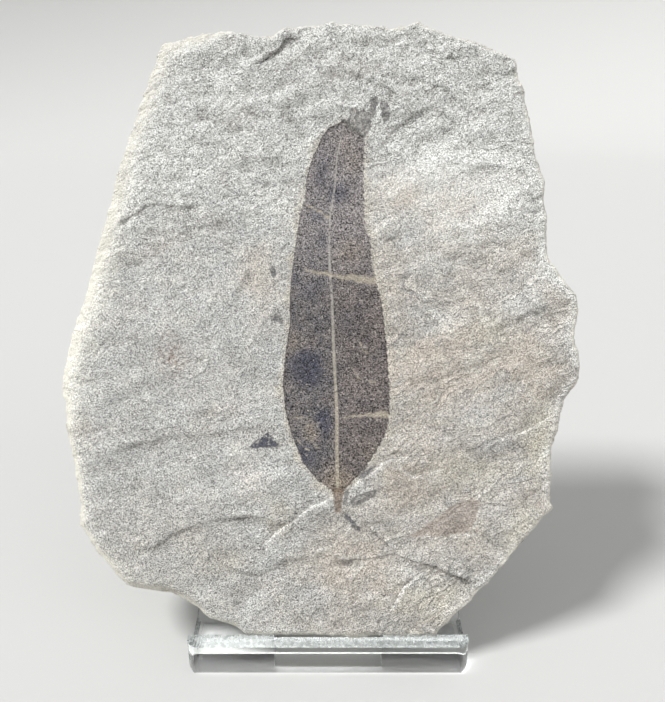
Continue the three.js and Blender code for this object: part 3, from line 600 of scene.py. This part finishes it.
# Broad tones of the rock, warmer down to the right, then painted light: paler at the top and along both
# rims
warm_patches = np.max([
    0.8 * spot(24.7, 121.3, 19, 11), 0.9 * spot(32.8, 71.6, 22, 15), 0.7 * spot(22, 42, 15, 10),
    0.7 * spot(3.2, 20.4, 22, 14), 0.5 * spot(0, 4, 26, 10), 0.7 * spot(-23.7, 141.5, 9, 8),
    0.9 * spot(51.6, 74.2, 9, 9), 0.6 * spot(8, 152, 20, 8), 0.5 * spot(-18, 95, 9, 20),
], axis=0)
warm = 0.55 * smooth((U + 14) / 30) * smooth((140 - S) / 30) + 0.25 * noise(U / 14, S / 10, 140)
mark("warm", np.clip(warm + warm_patches - 0.35 * spot(-50, 72, 30, 30), 0, 1.2))
mark("cream", np.max([
    0.9 * spot(58, 52.7, 9, 18), 0.7 * spot(43.6, 82.3, 10, 9), 0.9 * spot(54.3, 25.8, 13, 13),
    0.7 * spot(38.2, 44.7, 18, 8), 0.7 * spot(-12.9, 31.2, 7, 9), 0.7 * spot(27.4, 9.7, 18, 9),
    0.5 * spot(-30, 20, 14, 8), 0.6 * left_rim,
], axis=0))
# Painted light with random tone: paler at the top and along both rims, where the light falls, darker
# low down
light = 1.35 * smooth((S - 92) / 45) - 0.15 + 1.3 * left_rim
light += 1.0 * smooth(1 - to_rim / 6) * smooth((U - 20) / 20) + 0.55 * noise(U / 17, S / 12, 141)
light += 0.3 * noise(U / 6, S / 4.5, 142) + 0.45 * smooth((U - 15) / 15) * smooth((S - 70) / 20)
light += 0.35 * smooth((U - 5) / 20) * smooth((S - 120) / 20)
light += 0.5 * spot(-22, 30, 12, 7) + 0.4 * spot(20, 36, 16, 7) + 0.4 * spot(24, 13, 14, 10)
light += 0.5 * spot(-13, 46, 7, 6, 0.6) - 0.3 * spot(-40, 70, 22, 25) - 0.45 * spot(24, 119, 17, 14)
light -= 1.1 * spot(-42, 25, 34, 28) + 0.35 * spot(-16, 34, 9, 10)
mark("light", light)
mark("calm", calm)


class Nodes:
    """Short ways of adding shader nodes to one material or one node group."""

    def __init__(self, tree):
        self.tree = tree

    def feed(self, node, sockets):
        """Link each named socket to another node's output, or set its value."""
        for name, value in sockets.items():
            socket = node.inputs[name]
            if isinstance(value, bpy.types.NodeSocket):
                self.tree.links.new(value, socket)
            elif socket.type == "RGBA":
                socket.default_value = (*value, 1)
            else:
                socket.default_value = value

    def add(self, kind, sockets=None, **settings):
        made = self.tree.nodes.new(kind)
        for name, value in settings.items():
            setattr(made, name, value)
        self.feed(made, sockets or {})
        return made

    def math(self, operation, a, b=None):
        sockets = {0: a} if b is None else {0: a, 1: b}
        return self.add("ShaderNodeMath", sockets, operation=operation).outputs[0]

    def times(self, a, b):
        return self.math("MULTIPLY", a, b)

    def plus(self, a, b):
        return self.math("ADD", a, b)

    def step(self, value, low, high, start=0.0, end=1.0):
        """From start where the value is low to end where it is high, straight between."""
        return self.add("ShaderNodeMapRange", {
            "Value": value, "From Min": low, "From Max": high, "To Min": start, "To Max": end,
        }).outputs[0]

    def mix(self, share, a, b, blend="MIX"):
        """Colour a turned towards colour b."""
        return self.add(
            "ShaderNodeMix", {0: share, 6: a, 7: b}, data_type="RGBA", blend_type=blend).outputs[2]


def material(name):
    """A new material, its node helper and its shader."""
    made = bpy.data.materials.new(name)
    made.use_nodes = True
    return made, Nodes(made.node_tree), made.node_tree.nodes["Principled BSDF"]


rock, nodes, shader = material("sandy_rock_with_leaf")
step, mix, times, plus = nodes.step, nodes.mix, nodes.times, nodes.plus

# Millimetres along the slab: across, up its slope, and out of its face, measured from its foot
foot_up = round(FOOT[0] * sin_lean + FOOT[1] * cos_lean, 2)
foot_out = round(FOOT[1] * sin_lean - FOOT[0] * cos_lean, 2)
in_slab = nodes.add("ShaderNodeMapping", {
    "Vector": nodes.add("ShaderNodeTexCoord").outputs["Object"],
    "Location": (0, -foot_up, -foot_out), "Rotation": (LEAN - math.pi / 2, 0, 0),
    "Scale": (1000, 1000, 1000)}).outputs[0]


def read(name):
    """A value that the mesh keeps at its points."""
    return nodes.add("ShaderNodeAttribute", attribute_name=name).outputs["Fac"]


def bedded(turn, scale):
    """Places on the slab turned by some degrees and drawn out along the bedding."""
    turned = nodes.add("ShaderNodeMapping", {
        "Vector": in_slab, "Rotation": (0, 0, math.radians(turn))}).outputs[0]
    return nodes.add("ShaderNodeMapping", {"Vector": turned, "Scale": scale}).outputs[0]


def grain(scale, detail, roughness=0.5, distortion=0.0, place=in_slab):
    """Noise with so many lumps to the millimetre."""
    return nodes.add("ShaderNodeTexNoise", {
        "Vector": place, "Scale": scale, "Detail": detail, "Roughness": roughness,
        "Distortion": distortion}).outputs[0]


def sand(per_mm):
    """A grey value for each grain of sand, and how far each place is from its grain's middle."""
    made = nodes.add("ShaderNodeTexVoronoi", {"Vector": in_slab, "Scale": per_mm})
    parts = nodes.add("ShaderNodeSeparateColor", {"Color": made.outputs["Color"]})
    return parts.outputs[0], made.outputs["Distance"]


def swing(pattern, amount):
    """Noise turned into a swing of so much to either side of nothing."""
    return step(pattern, 0.3, 0.7, -amount, amount)


grey, grain_gap = sand(5.6)
black_white = sand(5.2)[0]
fine = grain(2.6, 2.0)
medium = grain(0.95, 3.0)
clusters = grain(0.34, 5.0, 0.72)
patchy = grain(0.17, 4.0, 0.6)
broad = grain(0.06, 4.0)

# Stone: grey or rosy sand by its warmth, cream in patches, paler or duller by its tone, which
# holds the painted light of the light mark and random patches. Each lamina has a tone of its own.
GREY_SAND = (0.508, 0.510, 0.498)
ROSY_SAND = (0.545, 0.490, 0.430)
CREAM_SAND = (0.575, 0.540, 0.45)
PALE_AND_LIT_SAND = (0.735, 0.735, 0.705)
DULL_AND_SHADED_SAND = (0.40, 0.385, 0.355)
share = read("share")
here = plus(read("level"), swing(medium, 0.05))
lamina = nodes.add("ShaderNodeTexWhiteNoise", {
    "W": nodes.math("FLOOR", here)}, noise_dimensions="1D").outputs["Value"]
warmth = plus(read("warm"), swing(broad, 0.3))
warmth = plus(warmth, times(step(lamina, 0.0, 1.0, -0.25, 0.3), share))
tone_and_painted_light = plus(read("light"), swing(patchy, 0.35))
tone_and_painted_light = plus(tone_and_painted_light, times(step(lamina, 0.0, 1.0, -0.5, 0.5), share))
stone = mix(step(warmth, 0.0, 1.0), GREY_SAND, ROSY_SAND)
stone = mix(step(plus(read("cream"), swing(patchy, 0.3)), 0.0, 1.0), stone, CREAM_SAND)
# Painted light and tone: paler where lit and at random, duller where shaded and at random
stone = mix(step(tone_and_painted_light, 0.0, 1.6), stone, PALE_AND_LIT_SAND)
stone = mix(step(tone_and_painted_light, 0.0, -0.8, 0.0, 0.5), stone, DULL_AND_SHADED_SAND)

# Crumbled rock at the top: chalky lumps with dark hollows between them
CHALK = (0.78, 0.78, 0.76)
DARK_CRUMB_HOLLOW = (0.42, 0.415, 0.395)
crumbled = read("crumble")
chalk = times(crumbled, step(clusters, 0.46, 0.60))
stone = mix(times(chalk, 0.5), stone, CHALK)
# Darker between the lumps, where the clusters are low
stone = mix(times(crumbled, step(clusters, 0.48, 0.38, 0.0, 0.65)), stone, DARK_CRUMB_HOLLOW)

# Relief and rim: pale on what stands proud, as wear and painted highlight, painted shade in the
# hollows, and fresh pale rock at the chipped rim with a painted highlight on it
WORN_AND_LIT_ROCK = (0.68, 0.67, 0.64)
HOLLOW_PAINTED_SHADE = (0.25, 0.235, 0.21)
RIM_ROCK = (0.80, 0.775, 0.69)
FRESH_AND_LIT_ROCK = (0.87, 0.84, 0.745)
stone = mix(step(read("proud"), 0.1, 0.9, 0.0, 0.25), stone, WORN_AND_LIT_ROCK)
stone = mix(step(read("proud"), -0.12, -0.9, 0.0, 0.35), stone, HOLLOW_PAINTED_SHADE)
# Fresh broken rock at the chipped rim, made brighter still as a painted highlight where the rim catches
# light
edge = times(step(read("rim"), 0.0, 0.7), step(patchy, 0.2, 0.5))
stone = mix(times(read("soft_rim"), 0.45), stone, RIM_ROCK)
stone = mix(times(edge, 0.75), stone, FRESH_AND_LIT_ROCK)

# Stains, and the faint tan halo round the leaf
RUST = (0.27, 0.22, 0.18)
RED_SPECKS = (0.21, 0.155, 0.13)
SPECKLED_ROCK = (0.42, 0.375, 0.34)
HALO = (0.53, 0.49, 0.42)
stone = mix(times(read("brown"), step(medium, 0.33, 0.6, 0.0, 0.42)), stone, RUST)
stone = mix(times(read("speckled"), step(medium, 0.52, 0.60, 0.0, 0.8)), stone, RED_SPECKS)
stone = mix(times(read("speckled"), 0.4), stone, SPECKLED_ROCK)
stone = mix(step(plus(read("leaf"), swing(patchy, 1.4)), -2.0, -0.2, 0.0, 0.62), stone, HALO)

# Ledges: a painted shadow, a thin dark line under the edge, broken up where it is shallow, and a
# painted highlight, a pale line over it. Where the drop is negative the crest gets a painted
# highlight instead. Each lamina ends in a dark step of painted shade.
LEDGE_PAINTED_SHADOW = (0.13, 0.115, 0.10)
LEDGE_PAINTED_HIGHLIGHT = (0.74, 0.73, 0.70)
CREST_PAINTED_HIGHLIGHT = (0.86, 0.85, 0.81)
LAMINA_STEP_PAINTED_SHADE = (0.27, 0.255, 0.23)
drop = read("ledge_drop")
line_gap = plus(read("ledge_side"), swing(medium, 0.12))
# Painted shadow: a thin dark line on the low side of the ledge
ledge_shadow_mask = times(step(line_gap, -0.42, -0.08), step(line_gap, 0.12, 0.0))
whole = nodes.math("MAXIMUM", step(patchy, 0.38, 0.58), step(drop, 0.6, 1.0))
ledge_shadow_mask = times(times(ledge_shadow_mask, step(drop, 0.15, 1.2)), whole)
stone = mix(times(ledge_shadow_mask, step(drop, 0.9, 1.4, 0.62, 0.9)), stone, LEDGE_PAINTED_SHADOW)
# Painted highlight: a pale line on the high side of the ledge
upper = times(step(line_gap, 0.7, 0.1), step(line_gap, -0.06, 0.04))
stone = mix(times(upper, step(drop, 0.2, 1.2, 0.0, 0.4)), stone, LEDGE_PAINTED_HIGHLIGHT)
# Painted highlight along the crest where the drop is negative
crest_gap = plus(read("ledge_side"), swing(medium, 0.4))
crest_highlight_mask = times(step(crest_gap, -0.6, -0.05), step(crest_gap, 0.4, 0.02))
crest_highlight_mask = times(times(crest_highlight_mask, step(drop, -0.1, -0.7, 0.0, 0.8)), step(patchy, 0.38, 0.54))
stone = mix(crest_highlight_mask, stone, CREST_PAINTED_HIGHLIGHT)
# Painted shade at the foot of each lamina's step
part = nodes.math("FRACT", here)
riser_shade_mask = times(step(part, 0.80, 0.93), step(part, 1.0, 0.93))
stone = mix(times(times(riser_shade_mask, share), 0.45), stone, LAMINA_STEP_PAINTED_SHADE)

# Sand: light and dark grains, fewer on fresh and warm rock, white ones in the chalk, a few black
WHITE_GRAIN = (0.95, 0.95, 0.93)
BLACK_GRAIN = (0.06, 0.055, 0.05)
even = nodes.math("MAXIMUM", times(read("soft_rim"), 0.5), times(read("warm"), 0.2))
even = nodes.math("MAXIMUM", times(edge, 0.85), even)
grains = mix(even, step(grey, 0.0, 1.0, 0.12, 1.88), (1, 1, 1))
stone = mix(1.0, stone, grains, "MULTIPLY")
stone = mix(1.0, stone, step(fine, 0.33, 0.67, 0.93, 1.07), "MULTIPLY")
stone = mix(times(chalk, step(grey, 0.55, 0.75)), stone, WHITE_GRAIN)
black = times(step(grey, 0.965, 0.985), step(fine, 0.5, 0.58, 0.0, 0.8))
stone = mix(black, stone, BLACK_GRAIN)

# Leaf: a thin dark film with rock grains showing through, darker along its lower margin
COOL_FILM = (0.158, 0.150, 0.153)
WARM_FILM = (0.174, 0.153, 0.147)
THIN_FILM = (0.225, 0.195, 0.18)
THICK_FILM = (0.09, 0.085, 0.095)
FADED_FILM = (0.30, 0.28, 0.28)
TAN_FILM = (0.34, 0.28, 0.21)
BLUE_FILM = (0.062, 0.067, 0.095)
BARE_FLECK = (0.40, 0.365, 0.335)
MARGIN = (0.085, 0.07, 0.065)
up_slab = read("height")
from_rib = read("across")
ragged = plus(step(medium, 0.0, 1.0, -0.24, 0.24), step(fine, 0.0, 1.0, -0.22, 0.22))
teeth = times(nodes.math("FRACT", times(up_slab, 0.47)), step(from_rib, 4.0, 9.0))
leaf_in = plus(plus(read("leaf"), ragged), step(teeth, 0.0, 1.0, 0.16, -0.30))
leaf_mask = step(leaf_in, -0.08, 0.12)
film = mix(step(from_rib, -2.0, 6.0), COOL_FILM, WARM_FILM)
film = mix(step(patchy, 0.42, 0.65, 0.0, 0.5), film, THIN_FILM)
film = mix(step(patchy, 0.5, 0.32, 0.0, 0.5), film, THICK_FILM)
film = mix(times(read("pale"), 0.7), film, FADED_FILM)
film = mix(times(read("tan"), step(medium, 0.35, 0.65, 0.4, 0.85)), film, TAN_FILM)
film = mix(times(read("blue"), step(medium, 0.3, 0.6, 0.54, 0.9)), film, BLUE_FILM)
film = mix(step(medium, 0.58, 0.70, 0.0, 0.55), film, BARE_FLECK)
film = mix(times(step(leaf_in, 0.75, 0.15), step(up_slab, 105.0, 80.0, 0.0, 0.45)), film, MARGIN)
film = mix(1.0, film, step(black_white, 0.1, 0.9, 0.0, 1.97), "MULTIPLY")
film = mix(1.0, film, step(fine, 0.33, 0.67, 0.78, 1.22), "MULTIPLY")

# Midrib and breaks: bare tan rock, the midrib dotted out towards the tip
SHADED_TAN = (0.36, 0.315, 0.245)
PALE_TAN = (0.60, 0.55, 0.45)
GREY_RIB = (0.50, 0.48, 0.44)
tan_rock = mix(step(fine, 0.35, 0.65), SHADED_TAN, PALE_TAN)
tan_rock = mix(1.0, tan_rock, step(grey, 0.0, 1.0, 0.6, 1.35), "MULTIPLY")
rib_rock = mix(step(up_slab, 95.0, 60.0), GREY_RIB, tan_rock)
rib_half = step(up_slab, 130.0, 36.0, 0.20, 0.46)
rib_gap = nodes.math("SUBTRACT", nodes.math("ABSOLUTE", read("rib")), rib_half)
rib_mask = step(plus(rib_gap, times(ragged, 0.9)), 0.15, -0.10)
dotted = nodes.math("MAXIMUM", step(up_slab, 94.0, 80.0), step(medium, 0.36, 0.48))
rib_mask = times(times(rib_mask, dotted), step(up_slab, 100.0, 50.0, 0.75, 0.85))
film = mix(rib_mask, film, rib_rock)
crack_gap = nodes.math("SUBTRACT", nodes.math("ABSOLUTE", read("crack")), read("crack_half"))
crack_mask = step(plus(crack_gap, times(ragged, 3.2)), 0.18, -0.18, 0.0, 0.82)
film = mix(crack_mask, film, tan_rock)
colour = mix(leaf_mask, stone, film)

# Scraps of plant, greyer and thinner than the leaf, with a dark outline
GREY_SCRAP = (0.36, 0.345, 0.32)
BLUE_SCRAP = (0.05, 0.055, 0.085)
SCRAP_FLECK = (0.50, 0.48, 0.44)
SCRAP_PIT = (0.10, 0.10, 0.11)
BROWN_STAIN = (0.35, 0.285, 0.24)
STALK = (0.20, 0.145, 0.105)
SCRAP_OUTLINE = (0.07, 0.068, 0.07)
bluish = read("scrap_blue")
scrap_film = mix(bluish, GREY_SCRAP, BLUE_SCRAP)
scrap_film = mix(step(medium, 0.52, 0.62, 0.0, 0.6), scrap_film, SCRAP_FLECK)
scrap_film = mix(step(medium, 0.46, 0.36, 0.0, 0.6), scrap_film, SCRAP_PIT)
scrap_film = mix(step(bluish, 0.0, -1.0, 0.0, 0.85), scrap_film, BROWN_STAIN)
scrap_film = mix(step(bluish, -1.2, -2.0), scrap_film, STALK)
outline = times(step(read("scrap"), 0.6, 0.15), step(bluish, -0.8, -0.2, 0.0, 0.5))
scrap_film = mix(outline, scrap_film, SCRAP_OUTLINE)
scrap_film = mix(1.0, scrap_film, step(black_white, 0.0, 1.0, 0.25, 1.75), "MULTIPLY")
scrap_mask = step(plus(read("scrap"), times(ragged, 2.2)), -0.15, 0.2)
colour = mix(times(scrap_mask, read("scrap_dark")), colour, scrap_film)

# Fine relief in millimetres: ripples and wrinkles along the bedding, fainter in the calm patches,
# then sand, crumbs, broken steps and ledges
ripples = grain(1.0, 5.0, 0.62, 1.3, bedded(-20, (0.27, 0.40, 0.5)))
wrinkles = grain(1.0, 3.0, 0.6, 0.8, bedded(-26, (1.2, 1.8, 1.5)))
relief = plus(times(ripples, 1.2), times(wrinkles, 0.36))
relief = times(relief, step(read("calm"), 0.0, 1.0, 1.0, 0.3))
relief = plus(relief, times(grain_gap, -0.10))
relief = plus(relief, times(fine, 0.16))
relief = plus(relief, times(times(clusters, crumbled), 1.5))
tread = nodes.math("SUBTRACT", step(part, 0.88, 0.98), part)
relief = plus(relief, times(times(tread, share), 0.26))
relief = plus(relief, times(step(line_gap, -0.10, 0.10, 0.0, 0.28), drop))
relief = plus(relief, times(leaf_mask, -0.03))
bump = nodes.add("ShaderNodeBump", {"Height": relief, "Strength": 1.0, "Distance": 0.001})
nodes.feed(shader, {
    "Base Color": colour, "Roughness": 0.93, "Specular IOR Level": 0.25, "Normal": bump.outputs[0]})
slab_mesh.materials.append(rock)
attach(slab, "root")
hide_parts("fossil_slab")


# Display stand
# One strip of thick clear acrylic, saw-cut and bent: a front lip, a short base, a back rest and a
# leg bent back out of a slot. Its faces are polished, and its cut edges are left frosted.

# How strongly acrylic bends light, and in metres the chipped arris of a cut and the plain arris
ACRYLIC_IOR = 1.49
CUT_ARRIS = 0.00034
PLAIN_ARRIS = 0.0002

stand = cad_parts["display_stand"].copy()
stand.data = stand.data.copy()
stand.name = stand.data.name = "acrylic_stand"
stand.parent = None
bpy.context.collection.objects.link(stand)
work = bmesh.new()
work.from_mesh(stand.data)
bmesh.ops.remove_doubles(work, verts=work.verts, dist=1e-6)
bmesh.ops.dissolve_limit(work, angle_limit=math.radians(0.5), verts=work.verts, edges=work.edges)


def saw_cut(face):
    """Whether a face is a cut through the sheet: a side, the rest's top or the lip's top."""
    centre = face.calc_center_median()
    lip_top = face.normal.z > 0.85 and centre.z > 0.0085 and centre.y < 0.002
    return abs(face.normal.x) > 0.75 or centre.z > 0.075 or lip_top


# The slots of the stand's materials, in their order
POLISHED, FROSTED, CHIPPED, SCUFFED = range(4)
for face in work.faces:
    underside = face.normal.z < -0.9 and face.calc_center_median().z < 0.0005
    face.material_index = SCUFFED if underside else FROSTED if saw_cut(face) else POLISHED
sharp = [e for e in work.edges if e.is_manifold and e.calc_face_angle(0) > math.radians(35)]
cut = [e for e in sharp if any(f.material_index == FROSTED for f in e.link_faces)]
plain = [e for e in sharp if e not in cut]
for edges, width, finish in ((cut, CUT_ARRIS, CHIPPED), (plain, PLAIN_ARRIS, POLISHED)):
    bmesh.ops.bevel(work, geom=[e for e in edges if e.is_valid], offset=width, segments=2,
                    profile=0.5, material=finish, affect="EDGES", clamp_overlap=True)
bmesh.ops.dissolve_degenerate(work, dist=2e-6, edges=work.edges)
for face in work.faces:
    face.smooth = True
work.to_mesh(stand.data)
work.free()
# The big flat faces stay flat up to their bends and cut edges
even_faces = stand.modifiers.new("even_faces", "WEIGHTED_NORMAL")
even_faces.mode, even_faces.weight, even_faces.keep_sharp = "FACE_AREA", 100, False
flat = bpy.data.meshes.new_from_object(stand.evaluated_get(bpy.context.evaluated_depsgraph_get()))
stand.modifiers.clear()
kinds = [polygon.material_index for polygon in flat.polygons]
stand.data = flat
flat.name = "acrylic_stand"
flat.materials.clear()

clear, nodes, shader = material("clear_acrylic")
place = nodes.add("ShaderNodeTexCoord").outputs["Object"]
smear = nodes.add("ShaderNodeTexNoise", {"Vector": place, "Scale": 120.0, "Detail": 4.0}).outputs[0]
nodes.feed(shader, {
    "Base Color": (0.97, 0.985, 0.98), "Transmission Weight": 1.0, "IOR": ACRYLIC_IOR,
    "Roughness": nodes.step(smear, 0.45, 0.75, 0.0, 0.06)})
flat.materials.append(clear)

# Saw marks: ridges and small chips, clear between them, on every cut through the sheet
saw_marks = bpy.data.node_groups.new("saw_marks", "ShaderNodeTree")
for name, kind in (("Place", "Vector"), ("Dark", "Color"), ("Pale", "Color"),
                   ("Smoothest", "Float"), ("Roughest", "Float")):
    saw_marks.interface.new_socket(name, in_out="INPUT", socket_type="NodeSocket" + kind)
for name, kind in (("Colour", "Color"), ("Roughness", "Float"), ("Height", "Float")):
    saw_marks.interface.new_socket(name, in_out="OUTPUT", socket_type="NodeSocket" + kind)
nodes = Nodes(saw_marks)
asked = nodes.add("NodeGroupInput").outputs
saw = nodes.add("ShaderNodeTexWave", {
    "Vector": asked["Place"], "Scale": 420.0, "Distortion": 5.0, "Detail": 3.0, "Detail Scale": 2.0,
}, wave_type="BANDS", bands_direction="X").outputs["Fac"]
chips = nodes.add("ShaderNodeTexNoise", {
    "Vector": asked["Place"], "Scale": 900.0, "Detail": 3.0}).outputs[0]
nodes.add("NodeGroupOutput", {
    "Colour": nodes.mix(nodes.step(chips, 0.4, 0.62), asked["Dark"], asked["Pale"]),
    "Roughness": nodes.step(chips, 0.35, 0.7, asked["Smoothest"], asked["Roughest"]),
    "Height": nodes.plus(saw, chips),
})


def cut_surface(name, dark, pale, smoothest, roughest, depth):
    """A cut face or edge of the sheet, with its own tones and depth of saw marks."""
    made, nodes, shader = material(name)
    marks = nodes.add("ShaderNodeGroup", node_tree=saw_marks, sockets={
        "Place": nodes.add("ShaderNodeTexCoord").outputs["Object"], "Dark": dark, "Pale": pale,
        "Smoothest": smoothest, "Roughest": roughest})
    bump = nodes.add("ShaderNodeBump", {
        "Height": marks.outputs["Height"], "Strength": 0.6, "Distance": depth})
    nodes.feed(shader, {
        "Base Color": marks.outputs["Colour"], "Transmission Weight": 0.8, "IOR": ACRYLIC_IOR,
        "Roughness": marks.outputs["Roughness"], "Normal": bump.outputs[0]})
    return made


flat.materials.append(cut_surface(
    "frosted_cut_edge", (0.42, 0.46, 0.46), (0.74, 0.78, 0.78), 0.12, 0.45, 0.00012))
flat.materials.append(cut_surface(
    "chipped_arris", (0.38, 0.42, 0.42), (1.0, 1.0, 1.0), 0.1, 0.8, 0.0007))

scuffed, nodes, shader = material("scuffed_underside")
nodes.feed(shader, {
    "Base Color": (0.93, 0.95, 0.95), "Transmission Weight": 1.0, "IOR": ACRYLIC_IOR,
    "Roughness": 0.45})
flat.materials.append(scuffed)
flat.polygons.foreach_set("material_index", kinds)
stand.visible_shadow = False
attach(stand, "root")
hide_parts("display_stand")


# Floor, lights and camera
# A plain pale floor that curves up into a wall all round, and soft light from above and the left.
# The camera looks slightly down on the slab, square to its face.

FLOOR_RADIUS = 1.2
WALL_RADIUS = 1.9
CURVE = 0.6
WALL_TOP = 1.2
FLOOR_LEVEL = -0.0002
SPOKES = 72

paint, nodes, shader = material("pale_floor")
nodes.feed(shader, {"Base Color": (0.52, 0.518, 0.508), "Roughness": 0.85})


def turned(name, profile):
    """A disc or a ring of floor, turned round the upright axis from its profile."""
    turns = [2 * math.pi * k / SPOKES for k in range(SPOKES)]
    corners = [(r * math.cos(a), r * math.sin(a), z) for r, z in profile for a in turns]
    strips = [tuple(range(SPOKES))] if len(profile) == 1 else []
    for inner in range(0, len(corners) - SPOKES, SPOKES):
        outer = inner + SPOKES
        for k in range(SPOKES):
            after = (k + 1) % SPOKES
            strips.append((inner + k, outer + k, outer + after, inner + after))
    mesh = bpy.data.meshes.new(name)
    mesh.from_pydata(corners, [], strips)
    mesh.polygons.foreach_set("use_smooth", [True] * len(mesh.polygons))
    mesh.materials.append(paint)
    made = bpy.data.objects.new(name, mesh)
    bpy.context.collection.objects.link(made)
    return made


def soft_light(name, towards, strength, softness):
    """A distant light from one direction, its softness the angle it fills in degrees."""
    light = bpy.data.lights.new(name, "SUN")
    light.energy, light.angle = strength, math.radians(softness)
    holder = bpy.data.objects.new(name, light)
    holder.rotation_euler = Vector(towards).to_track_quat("Z", "Y").to_euler()
    bpy.context.collection.objects.link(holder)


turned("floor", [(FLOOR_RADIUS, FLOOR_LEVEL)])
curve_start = WALL_RADIUS - CURVE
profile = [(FLOOR_RADIUS, FLOOR_LEVEL), (curve_start, FLOOR_LEVEL)]
profile += [(curve_start + CURVE * math.sin(a), CURVE - CURVE * math.cos(a))
            for a in np.linspace(0.1, math.pi / 2, 12)]
sweep = turned("sweep", profile + [(WALL_RADIUS, WALL_TOP)])
sweep.visible_shadow = False
soft_light("window", (-0.52, -0.20, 0.83), 3.4, 14)
soft_light("fill", (0.6, -0.5, 0.6), 0.35, 40)
room = bpy.data.worlds.new("room")
room.use_nodes = True
Nodes(room.node_tree).feed(
    room.node_tree.nodes["Background"], {"Color": (0.95, 0.96, 0.97), "Strength": 0.62})
bpy.context.scene.world = room
bpy.context.scene.view_settings.view_transform = "Standard"

# The lens is 700 picture points long, for a picture 702 points high
camera = bpy.data.cameras.new("camera")
camera.sensor_width = 36
camera.lens = camera.sensor_width * 700 / 702
camera.clip_start = 0.01
holder = bpy.data.objects.new("camera", camera)
holder.location = (0.0012, -0.1463, 0.1523)
holder.rotation_euler = (math.radians(68), 0, 0)
bpy.context.collection.objects.link(holder)
bpy.context.scene.camera = holder
